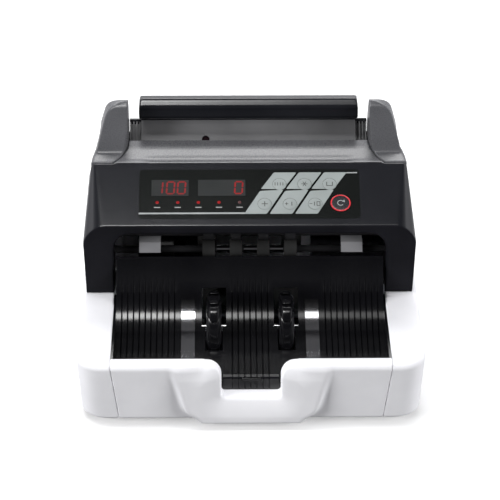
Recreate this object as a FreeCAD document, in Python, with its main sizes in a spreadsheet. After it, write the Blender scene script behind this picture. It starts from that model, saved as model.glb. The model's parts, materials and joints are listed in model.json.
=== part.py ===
import FreeCAD, Part
import math
import os
from types import SimpleNamespace

import Sketcher

# Banknote counting machine: a white lower shell, a black hood with the control panel, a hopper
# with two ears at the back, and the feed and stacker mechanism inside.
# Frame: millimetres, X to the operator's right, Y from the operator to the back, Z up.
# The origin is the centre of the rectangle that the machine covers on the table.

doc = FreeCAD.newDocument("BanknoteCounter")
sheet = doc.addObject("Spreadsheet::Sheet", "Dims")

DIMENSIONS = [
    # white lower shell
    ("body_half", 142, "half width of the shell at its rim"),
    ("body_front", -122, "front face at the rim"),
    ("body_rear", 128, "rear face at the rim"),
    ("foot_height", 6, "shell's lower edge above the table"),
    ("rim_height", 57, "top of the arms and of the front rim"),
    ("draft", 3, "how far the shell draws in at its lower edge"),
    ("plan_radius", 22, "corner radius seen from above"),
    ("rim_round", 4, "rounding along the rim"),
    ("shell_wall", 3, "thickness of the moulded covers"),
    ("rim_depth", 13.4, "front rim, front to back"),
    ("tray_half", 114.4, "half width of the stacker tray"),
    ("seam_half", 108, "half width of the front cover at its lower edge"),
    ("notch_half", 24.2, "half width of the thumb notch"),
    ("notch_floor", 27.2, "floor of the thumb notch"),
    ("notch_flare", 13.3, "radius of the notch's flared shoulders"),
    ("bulge_top", 64, "half width of the swelling at the rim"),
    ("bulge_low", 47, "half width of the swelling at its lower edge"),
    ("bulge_out", 6, "how far the swelling stands out"),
    # black hood and hopper
    ("hood_front", -5, "front face of the legs and of the arch"),
    ("leg_half", 138, "half width of the hood at the legs' feet"),
    ("hood_half", 139.7, "widest half width of the hood"),
    ("hood_wide_z", 105, "height of the widest place"),
    ("crown_half", 133.8, "half width of the hood at the top ridge"),
    ("panel_z", 121.2, "height of the lower ridge"),
    ("panel_tilt", 25.75, "slope of the control panel, degrees"),
    ("ridge_y", 54.7, "upper ridge of the control panel"),
    ("ridge_z", 150, "height of the upper ridge"),
    ("lip_y", 90, "edge of the deck over the hopper"),
    ("lip_z", 153, "height of that edge"),
    ("arch_z", 114, "underside of the arch"),
    ("arch_corner", 15, "corner radius of the arch"),
    ("panel_corner", 17, "rounding of the hood beside the panel, front"),
    ("hopper_half", 103, "half width between the ears"),
    ("ear_top", 188.5, "top of the ears"),
    ("upper_rear", 120, "rear face of the black rear cover"),
    ("plate_half", 93, "half width of the feed plate"),
    ("plate_top_y", 116.8, "upper edge of the feed plate"),
    ("plate_top_z", 158.8, "height of that edge"),
    ("overlay_half", 93.2, "half width of the control overlay"),
    ("overlay_low", 7.5, "lower edge of the overlay, up the panel"),
    ("overlay_high", 59, "upper edge of the overlay, up the panel"),
    ("key_radius", 7, "radius of a key's dome"),
    ("key_pitch", 21.2, "spacing of the keys"),
    ("key_gap", 0.4, "clearance round a key"),
    ("reset_radius", 8.6, "radius of the reset key"),
    # stacker
    ("wheel_y", -37, "stacker shaft, front to back"),
    ("wheel_z", 42, "stacker shaft, height"),
    ("wheel_radius", 30.5, "stacker wheels"),
    ("wheel_x", 30.2, "middle of a stacker wheel"),
    ("wheel_width", 12.6, "width of a stacker wheel"),
    ("slot_half", 10.2, "half width of the stacker plate's slots"),
    ("tray_y", -50, "where the tray floor starts to curve up"),
    ("tray_z", 44.8, "height of the tray floor there"),
    ("floor_slope", 12, "slope of the tray floor, degrees"),
    ("tray_curve", 60, "radius of the tray's curve"),
    ("tray_end", 75, "slope where the curve ends, degrees"),
    ("liner", 2, "thickness of the stacker plate"),
    ("strip_in", 46, "inner edge of a guide strip"),
    ("strip_out", 57.7, "outer edge of a guide strip"),
    ("strip_thick", 0.6, "thickness of a guide strip"),
    # mechanism
    ("frame_half", 118, "inner face of the side frames"),
    ("sheet_metal", 2, "thickness of the side frames"),
    ("base_metal", 1.5, "thickness of the base plate"),
    ("screw_radius", 1.5, "cover screws"),
    ("fit", 0.05, "running clearance of a shaft, on the radius"),
    ("feed_y", 44, "feed shaft"),
    ("feed_z", 92, "feed shaft"),
    ("feed_radius", 20, "feed rollers"),
    ("pickup_y", 98, "pickup shaft"),
    ("pickup_z", 118.8, "pickup shaft"),
    ("pickup_radius", 16, "pickup rollers"),
    ("exit_y", 12, "exit shaft"),
    ("exit_z", 90, "exit shaft"),
    ("exit_radius", 8, "exit rollers"),
    ("pinch_y", 14, "pinch shaft"),
    ("pinch_z", 104.35, "pinch shaft"),
    ("pinch_radius", 6, "pinch rollers"),
    ("thick_shaft", 4, "radius of the feed and pickup shafts"),
    ("thin_shaft", 3, "radius of the stacker and exit shafts"),
    ("roller_x", 36, "middle of a feed roller"),
    ("motor_y", 70, "feed motor"),
    ("motor_z", 45, "feed motor"),
    ("motor_radius", 22, "feed motor's can"),
    ("belt_near", 121.4, "inner belt row"),
    ("belt_far", 127, "outer belt row"),
    ("belt_width", 4, "width of a belt"),
    ("belt_thick", 1.2, "thickness of a belt"),
    ("belt_gap", 0.3, "room between belt and pulley"),
    ("pulley_motor", 8, "motor pulley of the feed belt"),
    ("pulley_feed", 14, "feed pulley of the motor belt"),
    ("pulley_motor_small", 5, "motor pulley of the stacker belt"),
    ("pulley_stacker", 9, "stacker pulley"),
    ("pulley_drive", 16, "feed pulley of the exit belt"),
    ("pulley_exit", 7, "exit pulley"),
    ("pulley_pickup", 10, "both pulleys of the pickup belt"),
    # handle and rear
    ("handle_y", 124.2, "handle's pivot"),
    ("handle_z", 118, "handle's pivot"),
    ("grip_half", 93.5, "half width of the handle's grip"),
    ("arm_in", 86, "inner face of a handle arm"),
    ("arm_out", 92, "outer face of a handle arm"),
    ("knob_z", 138, "gap knob's axis"),
]


class Size:
    """A size with its value and the sheet expression that gives it."""

    def __init__(self, value, text):
        self.value = value
        self.text = text

    def joined(self, other, sign, value, swap=False):
        other = as_size(other)
        left, right = (other, self) if swap else (self, other)
        return Size(value, f"({left.text} {sign} {right.text})")

    def __add__(self, other):
        return self.joined(other, "+", self.value + as_size(other).value)

    def __radd__(self, other):
        return self.joined(other, "+", self.value + as_size(other).value, True)

    def __sub__(self, other):
        return self.joined(other, "-", self.value - as_size(other).value)

    def __rsub__(self, other):
        return self.joined(other, "-", as_size(other).value - self.value, True)

    def __mul__(self, other):
        return self.joined(other, "*", self.value * as_size(other).value)

    def __rmul__(self, other):
        return self.joined(other, "*", self.value * as_size(other).value, True)

    def __truediv__(self, other):
        return self.joined(other, "/", self.value / as_size(other).value)

    def __neg__(self):
        return Size(-self.value, f"(0 - {self.text})")


def as_size(number):
    return number if isinstance(number, Size) else Size(float(number), f"{float(number):.6g}")


def sine(angle):
    return Size(math.sin(math.radians(angle.value)), f"sin({angle.text} * 1 deg)")


def cosine(angle):
    return Size(math.cos(math.radians(angle.value)), f"cos({angle.text} * 1 deg)")


for row, (alias, size, note) in enumerate(DIMENSIONS, start=1):
    sheet.set(f"A{row}", note)
    sheet.set(f"B{row}", str(size))
    sheet.setAlias(f"B{row}", alias)
doc.recompute()
d = SimpleNamespace(**{alias: Size(float(size), f"Dims.{alias}") for alias, size, _ in DIMENSIONS})

nodes = []


def bind(thing, prop, size):
    thing.setExpression(prop, as_size(size).text)


def keep(part):
    """Mark a finished piece, whose label names its file."""
    nodes.append(part)
    return part


def at(part, corner, rotation=None):
    """Place a part at a bound corner, turned by a fixed rotation."""
    if rotation is not None:
        part.Placement = FreeCAD.Placement(FreeCAD.Vector(), rotation)
    for axis, size in zip("xyz", corner):
        bind(part, f"Placement.Base.{axis}", size)
    return part


def box(name, low, high):
    part = doc.addObject("Part::Box", name)
    for prop, start, end in zip(("Length", "Width", "Height"), low, high):
        bind(part, prop, as_size(end) - start)
    return at(part, low)


TURN = {
    "x": FreeCAD.Rotation(FreeCAD.Vector(0, 1, 0), 90),
    "y": FreeCAD.Rotation(FreeCAD.Vector(1, 0, 0), -90),
    "z": FreeCAD.Rotation(),
}


def rod(name, axis, radius, start, length):
    """A cylinder from a start point along +X, +Y or +Z."""
    part = doc.addObject("Part::Cylinder", name)
    bind(part, "Radius", radius)
    bind(part, "Height", length)
    return at(part, start, TURN[axis])


def cone(name, radius_low, radius_high, start, height):
    part = doc.addObject("Part::Cone", name)
    bind(part, "Radius1", radius_low)
    bind(part, "Radius2", radius_high)
    bind(part, "Height", height)
    return at(part, start)


def join(name, *parts):
    part = doc.addObject("Part::MultiFuse", name)
    part.Shapes = list(parts)
    return part


def group(name, *parts):
    """Separate solids that share one node."""
    part = doc.addObject("Part::Compound", name)
    part.Links = list(parts)
    return part


def cut(name, base, *tools):
    part = doc.addObject("Part::Cut", name)
    part.Base = base
    part.Tool = tools[0] if len(tools) == 1 else join(name + "_tools", *tools)
    return part


def overlap(name, first, second):
    part = doc.addObject("Part::MultiCommon", name)
    part.Shapes = [first, second]
    return part


def rounded(name, base, radius, chosen, end_radius=None):
    """Round the edges whose box passes the test chosen(box)."""
    doc.recompute()
    part = doc.addObject("Part::Fillet", name)
    part.Base = base
    picks = [i for i, edge in enumerate(base.Shape.Edges, start=1) if chosen(edge)]
    last = radius if end_radius is None else end_radius
    part.Edges = [(i, radius, last) for i in picks]
    return part


def draw(sketch, outline):
    """Close an outline of corners (a, b) or (a, b, through) whose third item, a point, makes the
    stretch up to that corner an arc. Every corner is bound to the sheet."""
    corners = [(as_size(p[0]), as_size(p[1])) for p in outline]
    spots = [FreeCAD.Vector(a.value, b.value, 0) for a, b in corners]
    ends = []
    for i, spot in enumerate(spots):
        after = (i + 1) % len(spots)
        if len(outline[after]) == 3:
            middle = FreeCAD.Vector(*[as_size(v).value for v in outline[after][2]], 0)
            number = sketch.addGeometry(Part.Arc(spot, middle, spots[after]))
            forward = sketch.getPoint(number, 1).distanceToPoint(spot) < 1e-6
            ends.append((1, 2) if forward else (2, 1))
        else:
            sketch.addGeometry(Part.LineSegment(spot, spots[after]))
            ends.append((1, 2))
    for i, (a, b) in enumerate(corners):
        before = (i - 1) % len(corners)
        sketch.addConstraint(Sketcher.Constraint("Coincident", before, ends[before][1], i, ends[i][0]))
        for kind, size in (("DistanceX", a), ("DistanceY", b)):
            number = sketch.addConstraint(Sketcher.Constraint(kind, -1, 1, i, ends[i][0], size.value))
            sketch.setExpression(f"Constraints[{number}]", size.text)
        arc = sketch.Geometry[before]
        half_turn = spots[before].distanceToPoint(spots[i]) > 1.99 * getattr(arc, "Radius", math.inf)
        if len(outline[i]) == 3 and not half_turn:
            sketch.addConstraint(Sketcher.Constraint("Radius", before, arc.Radius))


PLANES = {"side": "YZ_Plane", "front": "XZ_Plane", "top": "XY_Plane"}


def sketch_on(body, view, name, offset=0):
    plane = [f for f in body.Origin.OriginFeatures if f.Role == PLANES[view]][0]
    sketch = body.newObject("Sketcher::SketchObject", name)
    sketch.AttachmentSupport = (plane, [""])
    sketch.MapMode = "FlatFace"
    bind(sketch, "AttachmentOffset.Base.z", offset)
    return sketch


def pad(name, view, outline, start, end):
    """A body padded from start to end: along +X for a side outline, +Y for a front outline, +Z
    for a top one."""
    body = doc.addObject("PartDesign::Body", name)
    away = as_size(start) if view != "front" else -as_size(end)
    sketch = sketch_on(body, view, name + "_outline", away)
    draw(sketch, outline)
    feature = body.newObject("PartDesign::Pad", name + "_pad")
    feature.Profile = sketch
    bind(feature, "Length", as_size(end) - start)
    sketch.Visibility = False
    return body


def both_sides(outline):
    """An outline drawn for x > 0, completed by its mirror image."""
    mirrored = []
    for i in range(len(outline) - 1, -1, -1):
        point = outline[i]
        after = outline[i + 1] if i + 1 < len(outline) else None
        if after is not None and len(after) == 3:
            through = after[2]
            mirrored.append((-as_size(point[0]), point[1], (-as_size(through[0]), through[1])))
        else:
            mirrored.append((-as_size(point[0]), point[1]))
    return outline + mirrored


def arc_middle(centre, radius, angle):
    """A point on a circle, angle in degrees from +a."""
    turn = math.radians(angle)
    return (centre[0] + radius * math.cos(turn), centre[1] + radius * math.sin(turn))


# ---- white lower shell -----------------------------------------------------------------------

def rounded_plan(half, front, rear, radius):
    """A rectangle seen from above with rounded corners."""
    near, far = front + radius, rear - radius
    side = half - radius
    return both_sides([
        (side, front),
        (half, near, arc_middle((side, near), radius, -45)),
        (half, far),
        (side, rear, arc_middle((side, far), radius, 45)),
    ])


def shell_solid(name, levels):
    """A tapered form lofted through levels (height, how far drawn in), lowest first."""
    body = doc.addObject("PartDesign::Body", name)
    sketches = []
    for number, (height, gap) in enumerate(levels):
        sketch = sketch_on(body, "top", f"{name}_{number}", height)
        draw(sketch, rounded_plan(d.body_half - gap, d.body_front + gap, d.body_rear - gap,
                                  d.plan_radius - gap))
        sketches.append(sketch)
    loft = body.newObject("PartDesign::AdditiveLoft", name + "_loft")
    loft.Profile = sketches[0]
    loft.Sections = sketches[1:]
    loft.Ruled = True
    return body


rim_levels = [(d.rim_height - d.rim_round * (1 - math.sin(turn)), d.rim_round * (1 - math.cos(turn)))
              for turn in [math.radians(angle) for angle in (0, 30, 60, 90)]]
shell_outer = shell_solid("shell_outer", [(d.foot_height, d.draft), *rim_levels])
shell_hollow = shell_solid("shell_hollow", [(d.foot_height - 1, d.draft + d.shell_wall),
                                            (d.rim_height - d.rim_round - 2, d.shell_wall),
                                            (d.rim_height - d.shell_wall, d.shell_wall + 2)])
tray_back = -3.2
tray_space = box("tray_space", (-d.tray_half, d.body_front + d.rim_depth, 0), (d.tray_half, tray_back, 70))
upper_space = box("upper_space", (-134, tray_back, 50), (134, 122, 70))
shell = cut("shell", shell_outer, shell_hollow, tray_space, upper_space)

front_zone = pad("front_zone", "front", both_sides([
    (d.seam_half, 0), (d.seam_half, d.foot_height), (d.tray_half, d.rim_height), (d.tray_half, 70),
]), -140, -100)


def notch_outline(grow):
    """The thumb notch seen from the front, with its flared shoulders, grown by a margin."""
    half = d.notch_half - grow if grow < 0 else d.notch_half + grow
    flare = d.notch_flare - grow
    turn_z = d.rim_height - d.notch_flare
    centre = (d.notch_half + d.notch_flare, turn_z)
    soft = 3 + grow
    floor = d.notch_floor - grow
    return both_sides([
        (half - soft, floor),
        (half, floor + soft, arc_middle((half - soft, floor + soft), soft, -45)),
        (half, turn_z),
        (centre[0], turn_z + flare, arc_middle(centre, flare, 135)),
        (centre[0], 75),
    ])


bulge_front = pad("bulge_front", "front", both_sides([
    (d.bulge_low - 5, d.foot_height), (d.bulge_low + 6, d.foot_height + 8),
    (d.bulge_top, d.rim_height - 3), (d.bulge_top - 2, d.rim_height - 1.5),
]), -140, -110)
bulge_side = pad("bulge_side", "side", [
    (d.body_front + 8, d.foot_height), (d.body_front - d.bulge_out, d.foot_height),
    (d.body_front - d.bulge_out, d.foot_height + 6), (d.body_front - 3, d.rim_height - 5),
    (d.body_front + 1, d.rim_height - 1), (d.body_front + 8, d.rim_height - 1),
], -70, 70)
bulge = overlap("bulge", bulge_front, bulge_side)
front_mass = join("front_mass", shell_outer, bulge)
notch_skin = overlap("notch_skin", pad("notch_grown", "front", notch_outline(3), -130,
                                       d.body_front + d.rim_depth), front_mass)
notch_space = pad("notch_space", "front", notch_outline(0), -135, -100)
front_piece = overlap("front_piece", shell, front_zone)
keep(cut("front_cover", join("front_blank", front_piece, bulge, notch_skin), notch_space))

rear_zone = box("rear_zone", (-112, 112, 0), (112, 140, 70))
side_pieces = cut("side_pieces", shell, front_zone, rear_zone)
right_half = box("right_half", (60, -140, 0), (160, 140, 70))
left_half = box("left_half", (-160, -140, 0), (-60, 140, 70))
keep(overlap("right_side_cover", side_pieces, right_half))
keep(overlap("left_side_cover", side_pieces, left_half))

inlet_x, inlet_z = -80, 31
switch_x, switch_z = -46, 31
rear_blank = overlap("rear_blank", shell, rear_zone)
inlet_hole = box("inlet_hole", (inlet_x - 14, 110, inlet_z - 10), (inlet_x + 14, 140, inlet_z + 10))
switch_hole = box("switch_hole", (switch_x - 10, 110, switch_z - 7), (switch_x + 10, 140, switch_z + 7))
vent_cuts = [box(f"vent_{i}", (62 + i * 6, 110, 18), (65 + i * 6, 140, 44)) for i in range(6)]
keep(cut("rear_cover", rear_blank, inlet_hole, switch_hole, *vent_cuts))

screw_spots = [(x, y) for y in (-100, 0, 110) for x in (-96, 96)]
base_blank = box("base_blank", (-130, -108, d.foot_height), (130, 118, d.foot_height + d.base_metal))
screw_holes = [rod(f"screw_hole_{i}", "z", d.screw_radius + d.fit, (x, y, d.foot_height - 1), 4)
               for i, (x, y) in enumerate(screw_spots)]
keep(cut("base_plate", base_blank, *screw_holes))
foot_spots = [(x, y) for y in (-92, 102) for x in (-108, 108)]
keep(group("feet", *[cone(f"foot_{i}", 7.5, 9, (x, y, 0), d.foot_height)
                     for i, (x, y) in enumerate(foot_spots)]))

# ---- black hood ------------------------------------------------------------------------------


def hood_section(body, y, top, side, shoulder, corner, inset, foot):
    """One cross-section of the hood: legs that widen a little, and rounded upper corners."""
    sketch = sketch_on(body, "front", f"{body.Name}_at_{int(round(as_size(y).value + 200))}", -as_size(y))
    bend = (side - inset - corner, top - corner)
    draw(sketch, both_sides([
        (d.leg_half - inset, foot),
        (d.hood_half - inset, shoulder),
        (side - inset, top - corner),
        (bend[0], top, arc_middle(bend, corner, 45)),
    ]))
    return sketch


def hood_form(name, inset, foot, front, back):
    """The hood lofted from the arch up the panel to the ridge and back along the deck."""
    body = doc.addObject("PartDesign::Body", name)
    drop = inset * 1.1
    rise = (front - d.hood_front) * (d.ridge_z - d.panel_z) / (d.ridge_y - d.hood_front)
    sections = [
        hood_section(body, front, d.panel_z + rise - drop, d.hood_half, 95, d.panel_corner - inset,
                     inset, foot)]
    for y, top in ((d.ridge_y, d.ridge_z), (72, 150.3), (back, d.lip_z)):
        sections.append(hood_section(body, y, top - drop, d.crown_half, d.hood_wide_z,
                                     4 - inset * 0.9, inset, foot))
    loft = body.newObject("PartDesign::AdditiveLoft", name + "_loft")
    loft.Profile = sections[0]
    loft.Sections = sections[1:]
    loft.Ruled = True
    return body


hood_outer = hood_form("hood_outer", 0, d.rim_height, d.hood_front, d.lip_y)
hood_inner = hood_form("hood_inner", 3, d.rim_height - 5, d.hood_front + 3, d.lip_y + 1)
arch = pad("arch", "front", both_sides([
    (d.tray_half, 40), (d.tray_half, d.arch_z - d.arch_corner),
    (d.tray_half - d.arch_corner, d.arch_z,
     arc_middle((d.tray_half - d.arch_corner, d.arch_z - d.arch_corner), d.arch_corner, 45)),
]), -20, 3)
hood_shell = cut("hood_shell", hood_outer, hood_inner, arch)


def cheek(name, side):
    """The dark inner wall beside the tray, with room for two shafts."""
    inner, outer = (d.tray_half, d.tray_half + 2) if side > 0 else (-d.tray_half - 2, -d.tray_half)
    wall = box(name + "_wall", (inner, d.hood_front + 0.5, d.rim_height), (outer, 27, 112))
    lower = rod(name + "_exit", "x", 7.5, (inner - 1, d.exit_y, d.exit_z), 4)
    upper = rod(name + "_pinch", "x", 6, (inner - 1, d.pinch_y, d.pinch_z), 4)
    return cut(name, wall, lower, upper)


ear_side = [
    (d.ridge_y, 146), (d.ridge_y, d.ridge_z + 0.3),
    (74, 160, (67, 153)),
    (88, 181),
    (97, d.ear_top, (91.5, 186.3)),
    (114, 172, (107, 181.5)),
    (d.upper_rear, 152),
    (d.upper_rear, 146),
]


def ear_face(side):
    """An ear seen from the front: upright inside, flaring out to the hood's side."""
    outline = [
        (d.hopper_half, 146), (d.crown_half, 146), (d.crown_half, d.ridge_z),
        (127.6, 160, (129.6, 153.6)),
        (124.4, 176),
        (112.5, d.ear_top, (120.6, 185.6)),
        (d.hopper_half, d.ear_top + 1.5),
    ]
    if side > 0:
        return outline
    return [(-as_size(p[0]), p[1]) if len(p) == 2 else (-as_size(p[0]), p[1], (-p[2][0], p[2][1]))
            for p in outline]


def ear_seam(side):
    """The seam between the deck and an ear, from the ridge in to the hopper, seen from above."""
    return [(side * 115, 50), (side * 114, d.ridge_y), (side * 110, 66), (side * 105, 76), (side * 104.8, 90)]


def ear_seat(name, side):
    """The part of the hood's deck that an ear stands in place of."""
    return pad(name, "top", [*ear_seam(side)[1:], (side * 104.8, 95), (side * 145, 95),
                             (side * 145, d.ridge_y)], 146, 160)


def ear(name, side):
    low, high = (90, 150) if side > 0 else (-150, -90)
    form = overlap(name + "_form", pad(name + "_side", "side", ear_side, low, high),
                   pad(name + "_face", "front", ear_face(side), 40, 130))
    deck_side = pad(name + "_seam", "top", [(side * 90, 50), *ear_seam(side), (side * 90, 90)], 140, 156)
    room = overlap(name + "_room",
                   pad(name + "_room_side", "side", [(76, 140), (86, 166), (93, 181), (99, 183),
                                                     (111, 168), (116.5, 150), (116.5, 140)], low, high),
                   box(name + "_room_box", (min(side * 107, side * 121), 60, 140),
                       (max(side * 107, side * 121), 120, 181)))
    return cut(name, form, deck_side, room)


keep(ear("right_ear", 1))
keep(ear("left_ear", -1))


def on_panel(x, up, out):
    """A point given across the panel, up its slope and out from its face."""
    y = d.hood_front + up * cosine(d.panel_tilt) - out * sine(d.panel_tilt)
    z = d.panel_z + up * sine(d.panel_tilt) + out * cosine(d.panel_tilt)
    return (x, y, z)


def panel_box(name, across, up, out):
    """A box whose base lies parallel to the control panel."""
    part = doc.addObject("Part::Box", name)
    for prop, (low, high) in zip(("Length", "Width", "Height"), (across, up, out)):
        bind(part, prop, as_size(high) - low)
    at(part, on_panel(across[0], as_size(up[0]), as_size(out[0])),
       FreeCAD.Rotation(FreeCAD.Vector(1, 0, 0), d.panel_tilt.value))
    bind(part, "Placement.Rotation.Angle", Size(d.panel_tilt.value, f"{d.panel_tilt.text} * 1 deg"))
    return part


def panel_rod(name, radius, across, up, out):
    """A cylinder standing square on the control panel."""
    part = doc.addObject("Part::Cylinder", name)
    bind(part, "Radius", radius)
    bind(part, "Height", as_size(out[1]) - out[0])
    at(part, on_panel(across, as_size(up), as_size(out[0])),
       FreeCAD.Rotation(FreeCAD.Vector(1, 0, 0), d.panel_tilt.value))
    bind(part, "Placement.Rotation.Angle", Size(d.panel_tilt.value, f"{d.panel_tilt.text} * 1 deg"))
    return part


overlay_cut = panel_box("overlay_cut", (-d.overlay_half, d.overlay_half),
                        (d.overlay_low, d.overlay_high), (-5, 3))
hood_cut = cut("hood_cut", hood_shell, ear_seat("right_seat", 1), ear_seat("left_seat", -1), overlay_cut)
keep(join("hood", hood_cut, cheek("right_cheek", 1), cheek("left_cheek", -1)))

ear_foot = 146


def rear_section(name, inset, foot, low, high):
    """The hood's outline from the front, carried on to the back."""
    return pad(name, "front", both_sides([
        (d.leg_half - inset, foot), (d.hood_half - inset, d.hood_wide_z),
        (d.crown_half + 0.5 - inset, ear_foot),
    ]), low, high)


rear_form = rear_section("rear_form", 0, d.rim_height, d.lip_y, d.upper_rear)
rear_room = join("rear_room", rear_section("rear_room_low", d.shell_wall, 50, 80, d.upper_rear - 3),
                 box("rear_room_high", (-125, 80, 130), (125, d.upper_rear - 3, 170)))
rear_rim = box("rear_rim", (-d.hopper_half, d.upper_rear - 3, 140), (d.hopper_half, d.upper_rear, 159.5))
lug_spots = (-95.5, 95.5)
lugs = [box(f"lug_{i}", (x - 2.5, d.upper_rear - 1, d.handle_z - 6), (x + 2.5, 127.8, d.handle_z + 6))
        for i, x in enumerate(lug_spots)]
lug_bores = [rod(f"lug_bore_{i}", "x", 2.5 + d.fit, (x - 3, d.handle_y, d.handle_z), 6)
             for i, x in enumerate(lug_spots)]
knob_bore = rod("knob_bore", "y", 3 + d.fit, (0, 110, d.knob_z), 20)
keep(cut("upper_rear_cover", join("upper_rear_blank",
         cut("rear_shell", rear_form, rear_room), rear_rim, *lugs),
         knob_bore, *lug_bores))

# ---- control panel ---------------------------------------------------------------------------

key_spots = [(25.3 + col * d.key_pitch.value - row * 12.6, 43.2 - row * 20.5)
             for row in range(2) for col in range(3)]
reset_spot = (76.5, 23.4)
led_spots = [(-77.6 + i * 17.3, 24.2) for i in range(5)]
display_spans = [(-82.6, -51.2), (-43.4, -3.4)]
overlay_sheet = panel_box("overlay_sheet", (-d.overlay_half, d.overlay_half),
                          (d.overlay_low, d.overlay_high), (-1.4, -0.2))
key_holes = [panel_rod(f"key_hole_{i}", d.key_radius + d.key_gap, x, up, (-3, 3))
             for i, (x, up) in enumerate(key_spots)]
reset_hole = panel_rod("reset_hole", d.reset_radius + d.key_gap, *reset_spot, (-3, 3))
led_holes = [panel_rod(f"led_hole_{i}", 1.6, x, up, (-3, 3)) for i, (x, up) in enumerate(led_spots)]
display_holes = [panel_box(f"display_hole_{i}", span, (31.2, 48.0), (-3, 3))
                 for i, span in enumerate(display_spans)]
keep(cut("control_overlay", overlay_sheet, *key_holes, reset_hole, *led_holes,
         *display_holes))
for i, (x, up) in enumerate(key_spots, start=1):
    keep(panel_rod(f"key_{i}", d.key_radius, x, up, (-2.2, 0.5)))
keep(panel_rod("reset_key", d.reset_radius, *reset_spot, (-2.2, 0.6)))
number_displays = [panel_box(f"display_{i}", (low + 0.1, high - 0.1), (31.3, 47.9), (-9, -0.6))
                   for i, (low, high) in enumerate(display_spans)]
status_lights = [panel_rod(f"led_{i}", 1.5, x, up, (-9, -0.3)) for i, (x, up) in enumerate(led_spots)]
keep(group("led_displays", *number_displays, *status_lights))
control_board = panel_box("control_board", (-90, 90), (10, 57), (-10.6, -9))

# ---- stacker ---------------------------------------------------------------------------------

curve_y = d.tray_y - d.tray_curve * sine(d.floor_slope)
curve_z = d.tray_z + d.tray_curve * cosine(d.floor_slope)
wall_y = curve_y + d.tray_curve * sine(d.tray_end)
wall_z = curve_z - d.tray_curve * cosine(d.tray_end)
fall = sine(d.floor_slope) / cosine(d.floor_slope)


def tray_floor(y):
    """Height of the tray floor at a place in front of the curve."""
    return d.tray_z + (y - d.tray_y) * fall


def on_curve(radius, slope):
    """A point of the tray's curve, or of a curve beside it, at a slope in degrees."""
    turn = math.radians(slope)
    return (curve_y + radius * math.sin(turn), curve_z - radius * math.cos(turn))


tray_front = d.body_front + d.rim_depth
under = d.tray_curve + d.liner
tray_skin = pad("tray_skin", "side", [
    (tray_front, 55.5), (tray_front + d.liner, 55.5),
    (tray_front + d.liner, tray_floor(tray_front + d.liner)),
    (d.tray_y, d.tray_z),
    (wall_y, wall_z, on_curve(d.tray_curve, 44)),
    (wall_y + 0.8, wall_z + 3.2), (wall_y + 2.8, wall_z + 2.7),
    on_curve(under, 75),
    (curve_y + under * sine(d.floor_slope), curve_z - under * cosine(d.floor_slope), on_curve(under, 44)),
    (tray_front, tray_floor(tray_front) - d.liner),
], -d.tray_half, d.tray_half)
cheeks = [box(f"tray_cheek_{i}", (low, tray_front, 34), (low + d.liner, d.hood_front, 55.5))
          for i, low in enumerate((-d.tray_half, d.tray_half - d.liner))]
shaft_room = rod("shaft_room", "x", 4.5, (-130, d.wheel_y, d.wheel_z), 260)
wheel_slots = []
for i, x in enumerate((-d.wheel_x, d.wheel_x)):
    wheel_slots.append(box(f"slot_wide_{i}", (x - d.slot_half, -43, 30), (x + d.slot_half, -14.5, 78)))
    wheel_slots.append(box(f"slot_narrow_{i}", (x - 7.3, -70.5, 30), (x + 7.3, -43, 60)))
tongue_gap = box("tongue_gap", (-d.notch_half, -120, 20), (d.notch_half, -98, 60))
tongue = pad("tongue", "side", [(-98, tray_floor(-98)), (-108.6, 27.3), (-108.6, 25.3),
                                (-98, tray_floor(-98) - d.liner)], -d.notch_half, d.notch_half)
eye_x, eye_y = 2, -86
eye_hole = rod("eye_hole", "z", 3, (eye_x, eye_y, 30), 12)
tray_body = cut("tray_body", join("tray_blank", tray_skin, *cheeks), shaft_room, *wheel_slots,
                tongue_gap, eye_hole)
keep(join("stacker_plate", tray_body, tongue))


def strip(name, low, high):
    """A polished strip lying on the tray from its front to the top of the curve."""
    top = d.tray_curve - d.strip_thick
    return pad(name, "side", [
        (-103, tray_floor(-103)), (d.tray_y, d.tray_z),
        (*on_curve(d.tray_curve, 42), on_curve(d.tray_curve, 27)),
        on_curve(top, 42),
        (curve_y + top * sine(d.floor_slope), curve_z - top * cosine(d.floor_slope), on_curve(top, 27)),
        (-103, tray_floor(-103) + d.strip_thick),
    ], low, high)


keep(group("guide_strips", strip("strip_left", -d.strip_out, -d.strip_in),
           strip("strip_right", d.strip_in, d.strip_out)))


def impeller(name, x):
    """A stacker wheel: a hub with curved fingers that catch the notes."""
    hub = rod(name + "_hub", "x", 15, (x - d.wheel_width / 2, d.wheel_y, d.wheel_z), d.wheel_width)
    finger_count = 12
    fingers = []
    for i in range(finger_count):
        lean = math.radians(360 / finger_count * i)
        points = []
        for radius, swing in ((13.5, 0.0), (22.5, 0.2), (30.3, 0.62), (d.wheel_radius.value, 0.55),
                              (22.5, 0.06), (13.5, -0.16)):
            turn = lean + swing
            points.append((d.wheel_y + radius * math.cos(turn), d.wheel_z + radius * math.sin(turn)))
        outline = [points[0], (*points[2], points[1]), points[3], (*points[5], points[4])]
        fingers.append(pad(f"{name}_finger_{i}", "side", outline,
                           x - d.wheel_width / 2, x + d.wheel_width / 2))
    bore = rod(name + "_bore", "x", d.thin_shaft, (x - d.wheel_width, d.wheel_y, d.wheel_z),
               d.wheel_width * 2)
    return cut(name, join(name + "_blank", hub, *fingers), bore)


keep(group("impeller_wheels", impeller("wheel_left", -d.wheel_x),
           impeller("wheel_right", d.wheel_x)))

# ---- shafts, rollers and drive ---------------------------------------------------------------


def shaft(name, radius, y, z, low, high):
    return rod(name, "x", radius, (low, y, z), as_size(high) - low)


def ring(name, outer, inner, y, z, low, high):
    body = rod(name + "_body", "x", outer, (low, y, z), as_size(high) - low)
    bore = rod(name + "_bore", "x", inner, (as_size(low) - 1, y, z), as_size(high) - low + 2)
    return cut(name, body, bore)


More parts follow.
